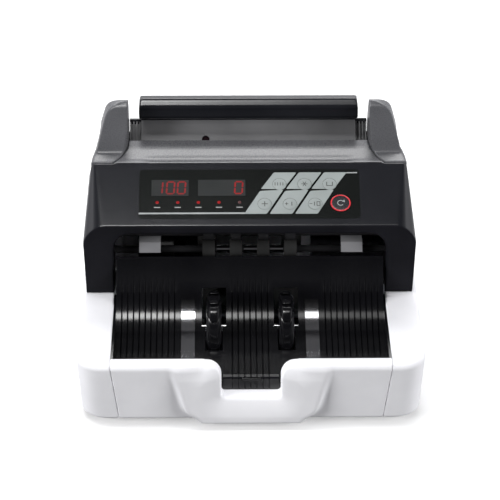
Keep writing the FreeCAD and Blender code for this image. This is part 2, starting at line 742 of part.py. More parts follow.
def rollers(name, spots, outer, inner, y, z, width):
    return keep(group(name, *[ring(f"{name}_{i}", outer, inner, y, z, x - width / 2, x + width / 2)
                              for i, x in enumerate(spots)]))


far_end = d.belt_far + d.belt_width
keep(shaft("stacker_shaft", d.thin_shaft, d.wheel_y, d.wheel_z, -121, far_end))
keep(shaft("exit_shaft", d.thin_shaft, d.exit_y, d.exit_z, -far_end, 121))
keep(shaft("feed_shaft", d.thick_shaft, d.feed_y, d.feed_z, -far_end, far_end))
keep(shaft("pickup_shaft", d.thick_shaft, d.pickup_y, d.pickup_z, -far_end, 121))
keep(shaft("pinch_shaft", 2.5, d.pinch_y, d.pinch_z, -121, 121))
rollers("feed_rollers", (-d.roller_x, d.roller_x), d.feed_radius, d.thick_shaft, d.feed_y, d.feed_z, 16)
rollers("pickup_rollers", (-d.roller_x, d.roller_x), d.pickup_radius, d.thick_shaft, d.pickup_y,
        d.pickup_z, 14)
roller_row = (-34.5, -11.5, 11.5, 34.5)
rollers("exit_rollers", roller_row, d.exit_radius, d.thin_shaft, d.exit_y, d.exit_z, 10.5)
rollers("pinch_rollers", roller_row, d.pinch_radius, 2.5, d.pinch_y, d.pinch_z, 8.5)


def pulley(name, radius, bore, y, z, low):
    """A pulley with two rims that keep its belt in place."""
    high = low + d.belt_width
    drum = rod(name + "_drum", "x", radius, (low, y, z), d.belt_width)
    rims = [rod(f"{name}_rim_{i}", "x", radius + 2, (start, y, z), 0.6)
            for i, start in enumerate((low - 0.7, high + 0.1))]
    hole = rod(name + "_hole", "x", bore, (low - 2, y, z), d.belt_width + 4)
    sleeve = rod(name + "_sleeve", "x", bore + 1.2, (low - 0.7, y, z), d.belt_width + 1.4)
    return cut(name, join(name + "_blank", drum, sleeve, *rims), hole)


motor_shaft_radius = 2.5
near_left = -d.belt_near - d.belt_width
far_left = -far_end
keep(pulley("stacker_pulley", d.pulley_stacker, d.thin_shaft, d.wheel_y, d.wheel_z, d.belt_far))
keep(pulley("exit_pulley", d.pulley_exit, d.thin_shaft, d.exit_y, d.exit_z, near_left))
keep(pulley("pickup_pulley", d.pulley_pickup, d.thick_shaft, d.pickup_y, d.pickup_z, far_left))
keep(group("feed_pulleys",
           pulley("feed_pulley_motor", d.pulley_feed, d.thick_shaft, d.feed_y, d.feed_z,
                  d.belt_near),
           pulley("feed_pulley_exit", d.pulley_drive, d.thick_shaft, d.feed_y, d.feed_z,
                  near_left),
           pulley("feed_pulley_pickup", d.pulley_pickup, d.thick_shaft, d.feed_y,
                  d.feed_z, far_left)))
keep(group("motor_pulleys",
           pulley("motor_pulley_feed", d.pulley_motor, motor_shaft_radius, d.motor_y,
                  d.motor_z, d.belt_near),
           pulley("motor_pulley_stacker", d.pulley_motor_small, motor_shaft_radius,
                  d.motor_y, d.motor_z, d.belt_far)))
keep(shaft("motor_spindle", motor_shaft_radius, d.motor_y, d.motor_z, 104, far_end))


def belt(name, first, second, low):
    """A flat belt round two pulleys, each given as (y, z, radius): straight runs and two arcs."""
    (y1, z1, r1), (y2, z2, r2) = [tuple(as_size(v).value for v in spot) for spot in (first, second)]
    span = math.hypot(y2 - y1, z2 - z1)
    lean = math.atan2(z2 - z1, y2 - y1)
    spread = math.acos((r1 - r2) / span)

    def loop(extra):
        outline = []
        for cy, cz, radius, start, middle in (
                (y1, z1, r1 + extra, lean + spread, lean + math.pi),
                (y2, z2, r2 + extra, lean - spread, lean)):
            finish = 2 * middle - start
            points = [(cy + radius * math.cos(t), cz + radius * math.sin(t))
                      for t in (start, middle, finish)]
            outline += [points[0], (*points[2], points[1])]
        return outline

    gap = d.belt_gap.value
    outer = pad(name + "_outer", "side", loop(gap + d.belt_thick.value), low + 0.4, low + d.belt_width - 0.4)
    inner = pad(name + "_inner", "side", loop(gap), low - 1, low + d.belt_width + 1)
    return cut(name, outer, inner)


feed_spot = (d.feed_y, d.feed_z)
motor_spot = (d.motor_y, d.motor_z)
keep(group("drive_belts",
    belt("motor_belt", (*motor_spot, d.pulley_motor), (*feed_spot, d.pulley_feed), d.belt_near),
    belt("stacker_belt", (d.wheel_y, d.wheel_z, d.pulley_stacker), (*motor_spot, d.pulley_motor_small),
         d.belt_far),
    belt("exit_belt", (d.exit_y, d.exit_z, d.pulley_exit), (*feed_spot, d.pulley_drive), near_left),
    belt("pickup_belt", (*feed_spot, d.pulley_pickup), (d.pickup_y, d.pickup_z, d.pulley_pickup),
         far_left)))

# ---- frames, bearings and rods -----------------------------------------------------------------

shaft_list = [("stacker", d.wheel_y, d.wheel_z, d.thin_shaft), ("exit", d.exit_y, d.exit_z, d.thin_shaft),
              ("feed", d.feed_y, d.feed_z, d.thick_shaft), ("pickup", d.pickup_y, d.pickup_z, d.thick_shaft),
              ("pinch", d.pinch_y, d.pinch_z, as_size(2.5))]
tie_spots = [(-88, 20), (4, 30), (74, 92)]
frame_outline = [(-94, 9), (114, 9), (114, 138), (90, 141), (50, 126), (2, 112), (2, 56), (-2, 51),
                 (-66, 51), (-94, 28)]
frame_floor = d.foot_height + d.base_metal


def side_frame(name, low):
    plate = pad(name + "_plate", "side", frame_outline, low, low + d.sheet_metal)
    holes = [rod(f"{name}_{label}", "x", radius + 2.5, (low - 1, y, z), 4)
             for label, y, z, radius in shaft_list]
    boss = rod(name + "_motor", "x", 9, (low - 1, d.motor_y, d.motor_z), 4)
    flange_low = low - 10 if name.startswith("right") else low
    flange = box(name + "_flange", (flange_low, -60, frame_floor), (flange_low + 12, 110, 9))
    return keep(join(name, cut(name + "_sheet", plate, boss, *holes), flange))


side_frame("right_frame", d.frame_half)
side_frame("left_frame", -d.frame_half - d.sheet_metal)
keep(group("bearings", *[
    ring(f"bearing_{label}_{i}", radius + 2.5, radius + d.fit, y, z, low, low + 2)
    for label, y, z, radius in shaft_list for i, low in enumerate((-d.frame_half - 2, d.frame_half))]))
keep(group("tie_rods", *[rod(f"tie_{i}", "x", 3.5, (-d.frame_half, y, z), d.frame_half * 2)
                         for i, (y, z) in enumerate(tie_spots)]))

motor_can = rod("motor_can", "x", d.motor_radius, (54, d.motor_y, d.motor_z), 64)
motor_boss = rod("motor_boss", "x", 8.8, (110, d.motor_y, d.motor_z), 10)
spindle_bore = rod("spindle_bore", "x", motor_shaft_radius + d.fit, (103, d.motor_y, d.motor_z), 20)
keep(cut("feed_motor", join("motor_blank", motor_can, motor_boss), spindle_bore))

# ---- hopper ----------------------------------------------------------------------------------


def slope_plate(name, lower, thick, low, high, end_y):
    """A plate under 45 degrees that levels out towards the throat, lowered by a distance."""
    top_y, top_z = d.plate_top_y, d.plate_top_z - lower
    bend_y, bend_z = top_y - 34, top_z - 34
    return pad(name, "side", [
        (top_y, top_z), (top_y, top_z - thick * 1.414), (bend_y + thick * 0.6, bend_z - thick * 0.9),
        (end_y, bend_z - thick * 1.15 - (bend_y - end_y) * 0.64), (end_y, bend_z - (bend_y - end_y) * 0.64),
        (bend_y, bend_z),
    ], low, high)


plate_skin = slope_plate("plate_skin", 0, 1.6, -d.plate_half, d.plate_half, 67)
pickup_windows = [box(f"pickup_window_{i}", (x - 8.5, 78, 110), (x + 8.5, 97, 140))
                  for i, x in enumerate((-d.roller_x, d.roller_x))]
sensor_x, sensor_y = -37, 104.4
sensor_z = sensor_y + 42
slope_turn = FreeCAD.Rotation(FreeCAD.Vector(1, 0, 0), 45)
sensor_hole = at(doc.addObject("Part::Cylinder", "sensor_hole"), (sensor_x, sensor_y + 4, sensor_z - 4),
                 slope_turn)
bind(sensor_hole, "Radius", 3.4)
bind(sensor_hole, "Height", 12)
keep(cut("feed_plate", plate_skin, sensor_hole, *pickup_windows))


def channel(name, side):
    """A ribbed channel between the feed plate and an ear."""
    low = d.plate_half + 0.3 if side > 0 else -d.hopper_half + 0.3
    high = d.hopper_half - 0.3 if side > 0 else -d.plate_half - 0.3
    floor = slope_plate(name + "_floor", 4, 1.6, low, high, 70)
    ribs = [slope_plate(f"{name}_rib_{i}", 1.5, 3.2, low + i * 2.7, low + i * 2.7 + 1.1, 70)
            for i in range(4)]
    return join(name, floor, *ribs)


keep(group("hopper_channels", channel("channel_right", 1), channel("channel_left", -1)))
hopper_eye = at(doc.addObject("Part::Cylinder", "hopper_eye"), (sensor_x, sensor_y + 3.5, sensor_z - 3.5),
                slope_turn)
bind(hopper_eye, "Radius", 3.2)
bind(hopper_eye, "Height", 3.6)
tray_eye = rod("tray_eye", "z", 2.8, (eye_x, eye_y, 31), 5.4)
keep(group("sensor_lenses", hopper_eye, tray_eye))

guide_skin = pad("guide_skin", "side", [
    (86, 146.6), (64, 125), (50, 115.6), (36, 112.8), (26, 107.6), (25, 109), (35.4, 114.4),
    (49.4, 117.2), (62.8, 126.4), (84.6, 147.8),
], -100, 100)
retard_boxes = [box(f"retard_{i}", (x - 7, 41, 112.6), (x + 7, 51, 121))
                for i, x in enumerate((-d.roller_x, d.roller_x))]
magnet_room = box("magnet_room", (-15, 27.5, 106), (15, 34.5, 118))
keep(cut("throat_guide", guide_skin, *retard_boxes, magnet_room))
keep(group("retard_blocks", *[
    box(f"retard_block_{i}", (x - 6.8, 41.2, 112.6), (x + 6.8, 50.8, 121))
    for i, x in enumerate((-d.roller_x, d.roller_x))]))
keep(box("magnetic_head", (-14.5, 28, 107.5), (14.5, 34, 117)))
keep(rod("uv_lamp", "x", 3, (-80, 57, 127.5), 160))


def leaf(name, x):
    """A leaf spring that holds the notes down as they leave the rollers."""
    return pad(name, "side", [
        (26.6, 106.4), (22, 100.6), (8, 98), (2, 92), (1.2, 92.6), (7.4, 98.9), (21.5, 101.5),
        (26, 107.5),
    ], x - 9, x + 9)


keep(group("exit_springs", leaf("leaf_left", -84), leaf("leaf_right", 86)))

# ---- electrics -------------------------------------------------------------------------------

board = box("board", (-40, 16, 18), (44, 108, 19.6))
chips = [box(f"chip_{i}", (x, y, 19.6), (x + w, y + w * 0.8, 19.6 + tall))
         for i, (x, y, w, tall) in enumerate([(-30, 30, 22, 3), (8, 28, 14, 9), (-28, 70, 12, 14),
                                              (0, 66, 18, 5), (20, 90, 14, 11), (-34, 94, 10, 8)])]
posts = [rod(f"post_{i}", "z", 2.5, (x, y, frame_floor), 10.5)
         for i, (x, y) in enumerate([(-36, 20), (40, 20), (-36, 104), (40, 104)])]
keep(group("circuit_boards", control_board, join("main_board", board, *chips, *posts)))
core = box("core", (-98, 30, frame_floor), (-54, 78, 44))
coil = box("coil", (-106, 38, 12), (-46, 70, 40))
keep(join("transformer", core, coil))

inlet_shell = box("inlet_shell", (inlet_x - 13.8, 104, inlet_z - 9.8),
                  (inlet_x + 13.8, 127.2, inlet_z + 9.8))
inlet_cavity = box("inlet_cavity", (inlet_x - 11.5, 111, inlet_z - 7.5),
                   (inlet_x + 11.5, 130, inlet_z + 7.5))
inlet_pins = [box(f"inlet_pin_{i}", (inlet_x + x - 1, 110.5, inlet_z + z - 2),
                  (inlet_x + x + 1, 125, inlet_z + z + 2))
              for i, (x, z) in enumerate([(-7, -1.5), (0, 2.5), (7, -1.5)])]
keep(join("power_inlet", cut("inlet_body", inlet_shell, inlet_cavity), *inlet_pins))
switch_case = box("switch_case", (switch_x - 9.8, 108, switch_z - 6.8),
                  (switch_x + 9.8, 127.2, switch_z + 6.8))
switch_well = rod("switch_well", "z", 9.2, (switch_x, 122.5, switch_z - 5.5), 11)
keep(cut("switch_housing", switch_case, switch_well))
rocker_block = rod("rocker_block", "z", 8.8, (switch_x, 122.5, switch_z - 5), 10)
rocker_face = box("rocker_face", (switch_x - 20, 127.4, 0), (switch_x + 20, 140, 60))
rocker_back = box("rocker_back", (switch_x - 20, 90, 0), (switch_x + 20, 119, 60))
keep(cut("switch_rocker", rocker_block, rocker_face, rocker_back))

# ---- handle, knob and screws -----------------------------------------------------------------

grip_blank = pad("grip_blank", "side", [
    (104, 166), (118, 164.5), (121, 167), (121, 178), (117, 183), (108, 183), (103, 178), (103, 169),
], -d.grip_half, d.grip_half)
keep(rounded("handle_grip", grip_blank, 2.2,
             lambda e: e.BoundBox.XLength < 1 or e.BoundBox.ZMin > 177))
handle_arms = []
for i, side in enumerate((-1, 1)):
    low, high = (d.arm_in, d.arm_out) if side > 0 else (-d.arm_out, -d.arm_in)
    bar = pad(f"arm_{i}", "side", [
        (d.handle_y - 2.8, d.handle_z - 2.8), (d.handle_y + 2.8, d.handle_z - 2.8),
        (d.handle_y + 2.8, 171), (124, 176), (121, 176), (121, 165), (d.handle_y - 2.8, 165)], low, high)
    pin = rod(f"arm_pin_{i}", "x", 2.5, (low if side > 0 else low - 6, d.handle_y, d.handle_z),
              as_size(high) - low + 6)
    handle_arms.append(join(f"arm_with_pin_{i}", bar, pin))
keep(group("handle_arms", *handle_arms))

knob_head = rod("knob_head", "y", 11, (0, 120.5, d.knob_z), 7)
knob_grooves = [rod(f"knob_groove_{i}", "y", 1.2,
                    (11.4 * math.cos(i * math.pi / 6), 119, d.knob_z + 11.4 * math.sin(i * math.pi / 6)), 10)
                for i in range(12)]
knob_stem = rod("knob_stem", "y", 3, (0, 102.5, d.knob_z), 19)
keep(join("gap_knob", cut("knob_fluted", knob_head, *knob_grooves), knob_stem))

keep(group("cover_screws", *[
    join(f"screw_{i}", rod(f"screw_head_{i}", "z", 3, (x, y, d.foot_height - 2), 2),
         rod(f"screw_stem_{i}", "z", d.screw_radius, (x, y, d.foot_height - 2), 7))
    for i, (x, y) in enumerate(screw_spots)]))

# ---- check and write -------------------------------------------------------------------------

doc.recompute()
failed = [thing.Name for thing in doc.Objects if "Invalid" in thing.State or "Error" in thing.State]
for part in nodes:
    if part.Shape.isNull() or not part.Shape.isValid() or not part.Shape.Solids:
        failed.append(part.Label)
if failed:
    raise SystemExit("these objects failed: " + ", ".join(failed))

os.makedirs("parts", exist_ok=True)
for part in nodes:
    part.Shape.exportStep(f"parts/{part.Label}.step")
    extent = part.Shape.BoundBox
    print(f"{part.Label:20s} solids {len(part.Shape.Solids):2d} volume {part.Shape.Volume / 1000:8.2f} cm3 "
          f"x {extent.XMin:7.1f} {extent.XMax:7.1f} y {extent.YMin:7.1f} {extent.YMax:7.1f} "
          f"z {extent.ZMin:6.1f} {extent.ZMax:6.1f}")
print(len(nodes), "nodes")
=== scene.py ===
import json
import math

import bpy
import numpy as np
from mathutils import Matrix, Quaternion, Vector
from mathutils.geometry import tessellate_polygon


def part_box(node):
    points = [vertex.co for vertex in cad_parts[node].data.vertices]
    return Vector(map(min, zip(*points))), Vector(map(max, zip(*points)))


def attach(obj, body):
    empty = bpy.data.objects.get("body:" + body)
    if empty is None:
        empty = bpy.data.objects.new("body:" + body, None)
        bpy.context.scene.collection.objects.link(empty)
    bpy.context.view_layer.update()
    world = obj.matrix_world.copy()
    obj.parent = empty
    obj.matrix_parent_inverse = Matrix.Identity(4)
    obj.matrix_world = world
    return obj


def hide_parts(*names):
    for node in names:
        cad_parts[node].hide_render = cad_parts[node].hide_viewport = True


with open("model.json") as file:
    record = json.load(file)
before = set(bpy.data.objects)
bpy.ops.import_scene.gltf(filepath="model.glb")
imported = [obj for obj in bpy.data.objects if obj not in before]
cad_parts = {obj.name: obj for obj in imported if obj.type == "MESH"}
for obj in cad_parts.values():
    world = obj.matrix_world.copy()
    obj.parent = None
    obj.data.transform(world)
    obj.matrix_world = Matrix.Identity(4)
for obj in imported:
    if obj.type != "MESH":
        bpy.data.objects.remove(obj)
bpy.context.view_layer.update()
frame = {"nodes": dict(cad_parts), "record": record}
MM = 0.001


def span(node):
    """Lowest and highest corner of a CAD node, in millimetres."""
    return tuple(np.array(corner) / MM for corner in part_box(node))


# ---- materials -------------------------------------------------------------------------------

def node_input(node, name, value):
    node.inputs[name].default_value = value


def surface(name, dark, light, rough=(0.3, 0.4), grain=900, relief=0.02, metal=0.0, coat=0.0,
            coat_rough=0.1, stretch=(1, 1, 1), emission=0.0, cloud=25, level=0.5):
    """A procedural finish: clouded colour, grained roughness and a fine relief."""
    m = bpy.data.materials.new(name)
    m.use_nodes = True
    nodes, links = m.node_tree.nodes, m.node_tree.links
    shader = nodes["Principled BSDF"]
    coords = nodes.new("ShaderNodeTexCoord")
    mapping = nodes.new("ShaderNodeMapping")
    node_input(mapping, "Scale", stretch)
    links.new(coords.outputs["Object"], mapping.inputs["Vector"])
    clouds = nodes.new("ShaderNodeTexNoise")
    node_input(clouds, "Scale", cloud)
    node_input(clouds, "Detail", 4)
    links.new(coords.outputs["Object"], clouds.inputs["Vector"])
    fine = nodes.new("ShaderNodeTexNoise")
    node_input(fine, "Scale", grain)
    node_input(fine, "Detail", 3)
    links.new(mapping.outputs["Vector"], fine.inputs["Vector"])
    ramp = nodes.new("ShaderNodeValToRGB")
    ramp.color_ramp.elements[0].position = 0.35
    ramp.color_ramp.elements[0].color = (*dark, 1)
    ramp.color_ramp.elements[1].position = 0.65
    ramp.color_ramp.elements[1].color = (*light, 1)
    links.new(clouds.outputs["Fac"], ramp.inputs["Fac"])
    links.new(ramp.outputs["Color"], shader.inputs["Base Color"])
    spread = nodes.new("ShaderNodeMapRange")
    node_input(spread, "From Min", 0.3)
    node_input(spread, "From Max", 0.7)
    node_input(spread, "To Min", rough[0])
    node_input(spread, "To Max", rough[1])
    links.new(fine.outputs["Fac"], spread.inputs["Value"])
    links.new(spread.outputs["Result"], shader.inputs["Roughness"])
    bump = nodes.new("ShaderNodeBump")
    node_input(bump, "Strength", 0.6)
    node_input(bump, "Distance", relief * MM)
    links.new(fine.outputs["Fac"], bump.inputs["Height"])
    links.new(bump.outputs["Normal"], shader.inputs["Normal"])
    node_input(shader, "Metallic", metal)
    node_input(shader, "Coat Weight", coat)
    node_input(shader, "Coat Roughness", coat_rough)
    node_input(shader, "Specular IOR Level", level)
    if emission:
        links.new(ramp.outputs["Color"], shader.inputs["Emission Color"])
        node_input(shader, "Emission Strength", emission)
    return m


finishes = {
    "white_shell": surface("white_moulding", (0.80, 0.80, 0.83), (0.86, 0.86, 0.89), (0.42, 0.52), 1500,
                           0.012, level=0.3),
    "black_shell": surface("black_moulding", (0.008, 0.0085, 0.011), (0.011, 0.0115, 0.0145), (0.15, 0.21),
                           1300, 0.006),
    "black_gloss": surface("black_glossy", (0.0035, 0.0035, 0.0045), (0.0055, 0.0055, 0.0065), (0.13, 0.18),
                           700, 0.006),
    "grey_plate": surface("grey_sheet", (0.13, 0.13, 0.134), (0.165, 0.165, 0.17), (0.28, 0.36), 900, 0.01),
    "overlay_film": surface("overlay_film", (0.0045, 0.0055, 0.005), (0.006, 0.007, 0.0065), (0.12, 0.17),
                            2500, 0.003),
    "key_grey": surface("key_print", (0.225, 0.25, 0.246), (0.26, 0.29, 0.285), (0.38, 0.46), 2500, 0.006),
    "reset_black": surface("reset_print", (0.008, 0.008, 0.011), (0.012, 0.012, 0.016), (0.25, 0.32), 2500,
                           0.006),
    "polished_steel": surface("polished_steel", (0.62, 0.62, 0.64), (0.74, 0.74, 0.76), (0.08, 0.14), 300,
                              0.004, metal=1.0, stretch=(1, 8, 8)),
    "zinc_steel": surface("zinc_steel", (0.42, 0.43, 0.46), (0.58, 0.59, 0.62), (0.28, 0.42), 350, 0.01,
                          metal=1.0),
    "roller_rubber": surface("roller_rubber", (0.016, 0.016, 0.016), (0.03, 0.03, 0.03), (0.6, 0.75), 1600,
                             0.05),
    "pulley_plastic": surface("acetal", (0.6, 0.58, 0.52), (0.7, 0.68, 0.62), (0.35, 0.45), 900, 0.01),
    "lens": surface("smoked_lens", (0.012, 0.006, 0.008), (0.02, 0.01, 0.012), (0.05, 0.09), 400, 0.002,
                    coat=0.6),
    "lamp_glass": surface("lamp_tube", (0.10, 0.09, 0.18), (0.16, 0.15, 0.26), (0.06, 0.12), 400, 0.002,
                          coat=0.5),
    "head_metal": surface("head_metal", (0.5, 0.5, 0.5), (0.62, 0.62, 0.62), (0.25, 0.35), 500, 0.01,
                          metal=1.0),
    "circuit": surface("solder_mask", (0.004, 0.008, 0.005), (0.007, 0.014, 0.009), (0.3, 0.42), 600, 0.03),
    "transformer_metal": surface("core_varnish", (0.05, 0.045, 0.04), (0.1, 0.09, 0.075), (0.4, 0.55), 400,
                                 0.05),
    "black_fitting": surface("fitting_black", (0.012, 0.012, 0.013), (0.02, 0.02, 0.022), (0.35, 0.45),
                             1400, 0.02),
}
digit_red = surface("digit_red", (0.17, 0.001, 0.002), (0.22, 0.003, 0.004), (0.3, 0.4), 1200, 0.002,
                    emission=0.14, level=0.2)
lamp_red = surface("lamp_red", (0.19, 0.001, 0.002), (0.25, 0.003, 0.004), (0.2, 0.3), 1200, 0.002,
                   emission=0.18, level=0.2)
lamp_dim = surface("lamp_dim", (0.05, 0.012, 0.012), (0.07, 0.02, 0.02), (0.2, 0.3), 1200, 0.002)
window_tint = surface("window_tint", (0.020, 0.022, 0.022), (0.026, 0.028, 0.028), (0.14, 0.2), 1500, 0.002)
print_silver = surface("print_silver", (0.26, 0.275, 0.275), (0.31, 0.325, 0.325), (0.35, 0.42), 2000, 0.004)
print_dark = surface("print_dark", (0.03, 0.03, 0.03), (0.045, 0.045, 0.045), (0.4, 0.5), 2000, 0.004)
# Red print that also glows: the red is print, the glow is painted light, as the ring is no lamp.
red_print_painted_glow = surface("red_print_painted_glow", (0.5, 0.01, 0.02), (0.62, 0.02, 0.03), (0.35, 0.42), 2000, 0.004,
                    emission=0.08)
print_pale = surface("print_pale", (0.30, 0.31, 0.31), (0.36, 0.37, 0.37), (0.4, 0.5), 2000, 0.004)
cheek_black = surface("inner_black", (0.004, 0.004, 0.005), (0.006, 0.006, 0.007), (0.4, 0.5), 900, 0.01)
# A lighter copy of the black moulding: painted sheen for the hood's deck and the ears, which are the same
# plastic as the panel.
painted_sheen_black = surface("painted_sheen_black", (0.075, 0.076, 0.082), (0.092, 0.093, 0.100), (0.25, 0.31), 1300, 0.003)
front_black = surface("front_black", (0.008, 0.008, 0.010), (0.011, 0.011, 0.014), (0.4, 0.5), 1300, 0.006,
                      level=0.08)
spring_steel = surface("spring_steel", (0.26, 0.26, 0.275), (0.33, 0.33, 0.345), (0.3, 0.4), 500, 0.006,
                       metal=0.25)
# A lighter copy of the tray's black for the tongue: painted light on its ribbed band, which is the same
# plastic as the tray.
tongue_painted_light_black = surface("tongue_painted_light_black", (0.028, 0.028, 0.03), (0.036, 0.036, 0.038), (0.3, 0.4), 900, 0.006)
dark_steel = surface("dark_steel", (0.02, 0.02, 0.022), (0.035, 0.035, 0.038), (0.35, 0.45), 500, 0.008,
                     metal=0.6)

for part in frame["record"]["subparts"]:
    node = frame["nodes"][part["node"]]
    for place in node.material_slots:
        place.link = "OBJECT"
        place.material = finishes[part["material_slot"]]
for name, finish in (("exit_shaft", dark_steel), ("pinch_shaft", dark_steel), ("exit_springs", spring_steel)):
    for place in frame["nodes"][name].material_slots:
        place.material = finish


# ---- mesh tools ------------------------------------------------------------------------------

def piece(name, vertices, faces, body, slot_name, material=None, node=(), sharp=180):
    """A mesh in millimetres that rides on a body and takes its finish from a slot."""
    mesh = bpy.data.meshes.new(name)
    mesh.from_pydata((np.asarray(vertices, float) * MM).tolist(), [], [list(f) for f in faces])
    mesh.update()
    mesh.polygons.foreach_set("use_smooth", [sharp > 0] * len(mesh.polygons))
    if 0 < sharp < 180:
        mesh.set_sharp_from_angle(angle=math.radians(sharp))
        uses = np.bincount([loop.edge_index for loop in mesh.loops], minlength=len(mesh.edges))
        for i in np.flatnonzero(uses == 1):
            mesh.edges[i].use_edge_sharp = True
    obj = bpy.data.objects.new(name, mesh)
    bpy.context.scene.collection.objects.link(obj)
    mesh.materials.append(material or finishes[slot_name])
    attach(obj, body)
    if node:
        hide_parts(*([node] if isinstance(node, str) else node))
    return obj


def modify(obj, kind, **settings):
    modifier = obj.modifiers.new(kind.title(), kind)
    for key, value in settings.items():
        setattr(modifier, key, value)
    return obj


def polygon(a, b, points):
    """Signed distance of (a, b) from a closed outline, negative inside."""
    a, b = np.broadcast_arrays(np.asarray(a, float), np.asarray(b, float))
    best = np.full(a.shape, np.inf)
    inside = np.zeros(a.shape, bool)
    for (a0, b0), (a1, b1) in zip(points, points[1:] + points[:1]):
        ea, eb = a1 - a0, b1 - b0
        if ea == 0 and eb == 0:
            continue
        wa, wb = a - a0, b - b0
        t = np.clip((wa * ea + wb * eb) / (ea * ea + eb * eb), 0, 1)
        best = np.minimum(best, (wa - t * ea) ** 2 + (wb - t * eb) ** 2)
        if eb:
            inside ^= ((b0 <= b) != (b1 <= b)) & (wa < wb * ea / eb)
    return np.where(inside, -1, 1) * np.sqrt(best)


def soften(points, radius, steps=5):
    """The outline with each corner turned into a short curve."""
    made = []
    for i, corner in enumerate(points):
        here = np.array(corner, float)
        back, ahead = np.array(points[i - 1]) - here, np.array(points[(i + 1) % len(points)]) - here
        reach = [min(radius, np.linalg.norm(way) * 0.45) for way in (back, ahead)]
        start = here + back / np.linalg.norm(back) * reach[0]
        end = here + ahead / np.linalg.norm(ahead) * reach[1]
        for t in np.linspace(0, 1, steps + 1):
            made.append(tuple((1 - t) ** 2 * start + 2 * t * (1 - t) * here + t * t * end))
    return made


def meet(a, b, radius):
    """The overlap of two fields, its edge rounded."""
    beyond = np.hypot(np.maximum(a + radius, 0), np.maximum(b + radius, 0))
    return np.minimum(-radius, np.maximum(a, b)) + beyond


def unite(a, b, radius):
    """Two fields joined, the crease between them filled."""
    return -meet(-a, -b, radius)


def most(*fields):
    """The overlap of several fields, its edges sharp."""
    result = fields[0]
    for field in fields[1:]:
        result = np.maximum(result, field)
    return result


def slab(a, low, high):
    """Distance outside the stretch from low to high."""
    return np.abs(a - (low + high) / 2) - (high - low) / 2


PROBE, LEAST_SLOPE, REACH = 0.02, 0.05, 0.6


def skin(field, low, high, step):
    """Vertices and faces of the surface where field(x, y, z) is zero, in millimetres."""
    axes = [np.arange(lo - 1.5 * step, hi + 2.5 * step, step) for lo, hi in zip(low, high)]
    values = np.ascontiguousarray(field(*np.meshgrid(*axes, indexing="ij", sparse=True)))
    inside = values < 0
    count = [n - 1 for n in inside.shape]
    corners = [(i, j, k) for i in (0, 1) for j in (0, 1) for k in (0, 1)]

    def shifted(grid, c):
        return grid[c[0]:c[0] + count[0], c[1]:c[1] + count[1], c[2]:c[2] + count[2]]

    filled = sum(shifted(inside, c).astype(np.int8) for c in corners)
    active = (filled > 0) & (filled < 8)
    index = np.full(active.shape, -1)
    index[active] = np.arange(active.sum())
    total = np.zeros((active.sum(), 3))
    hits = np.zeros(active.sum())
    for c in corners:
        for axis in range(3):
            if c[axis]:
                continue
            other = tuple(1 if i == axis else c[i] for i in range(3))
            f0, f1 = shifted(values, c)[active], shifted(values, other)[active]
            crossed = (f0 < 0) != (f1 < 0)
            spot = np.repeat(np.array(c, float)[None], len(f0), 0)
            spot[:, axis] += np.where(crossed, f0 / np.where(crossed, f0 - f1, 1), 0)
            total += spot * crossed[:, None]
            hits += crossed
    vertices = np.array([axis[0] for axis in axes]) + (np.argwhere(active) + total / hits[:, None]) * step
    start = vertices.copy()
    for _ in range(3):
        here = field(*vertices.T)
        slope = np.stack([(field(*(vertices + offset).T) - here) / PROBE
                          for offset in np.eye(3) * PROBE], 1)
        move = slope * (here / np.maximum((slope ** 2).sum(1), LEAST_SLOPE))[:, None]
        vertices = start + np.clip(vertices - move - start, -REACH * step, REACH * step)
    faces = []
    for a in range(3):
        b, c = (a + 1) % 3, (a + 2) % 3
        grid = np.moveaxis(inside, (a, b, c), (0, 1, 2))
        cells = np.moveaxis(index, (a, b, c), (0, 1, 2))
        near, far = grid[:-1, 1:-1, 1:-1], grid[1:, 1:-1, 1:-1]
        quad = np.stack([cells[:, :-1, :-1], cells[:, 1:, :-1], cells[:, 1:, 1:], cells[:, :-1, 1:]], -1)
        faces.append(quad[near & ~far])
        faces.append(quad[far & ~near][:, ::-1])
    return vertices, np.concatenate(faces)


def moulded(name, field, low, high, step, body, slot_name, **more):
    """A piece whose surface is where a field is zero, within the box from low to high."""
    vertices, faces = skin(field, low, high, step)
    return piece(name, vertices, faces.tolist(), body, slot_name, **more)


def prism(name, shapes, low, high, place, body, slot_name, **more):
    """Flat pieces: each shape is an outline followed by its holes, given in a plane's own
    coordinates and carried into space by place(u, v, w)."""
    vertices, faces = [], []
    for loops in shapes:
        base = len(vertices)
        flat = [point for loop in loops for point in loop]
        count = len(flat)
        vertices += [place(u, v, high) for u, v in flat] + [place(u, v, low) for u, v in flat]
        rings = [[Vector((u, v, 0)) for u, v in loop] for loop in loops]
        for tri in tessellate_polygon(rings):
            (ax, ay), (bx, by), (cx, cy) = (flat[i] for i in tri)
            turn = (bx - ax) * (cy - ay) - (by - ay) * (cx - ax)
            tri = tri if turn > 0 else tri[::-1]
            faces.append([base + i for i in tri])
            faces.append([base + count + i for i in tri[::-1]])
        begin = 0
        for number, loop in enumerate(loops):
            size = len(loop)
            area = sum(p[0] * q[1] - q[0] * p[1] for p, q in zip(loop, loop[1:] + loop[:1]))
            outward = (area > 0) == (number == 0)
            for i in range(size):
                p, q = base + begin + i, base + begin + (i + 1) % size
                wall = [p + count, q + count, q, p]
                faces.append(wall if outward else wall[::-1])
            begin += size
    return piece(name, vertices, faces, body, slot_name, sharp=more.pop("sharp", 35), **more)


def circle(u, v, radius, count=48, radius_v=None):
    return [(u + radius * math.cos(2 * math.pi * i / count),
             v + (radius_v or radius) * math.sin(2 * math.pi * i / count)) for i in range(count)]


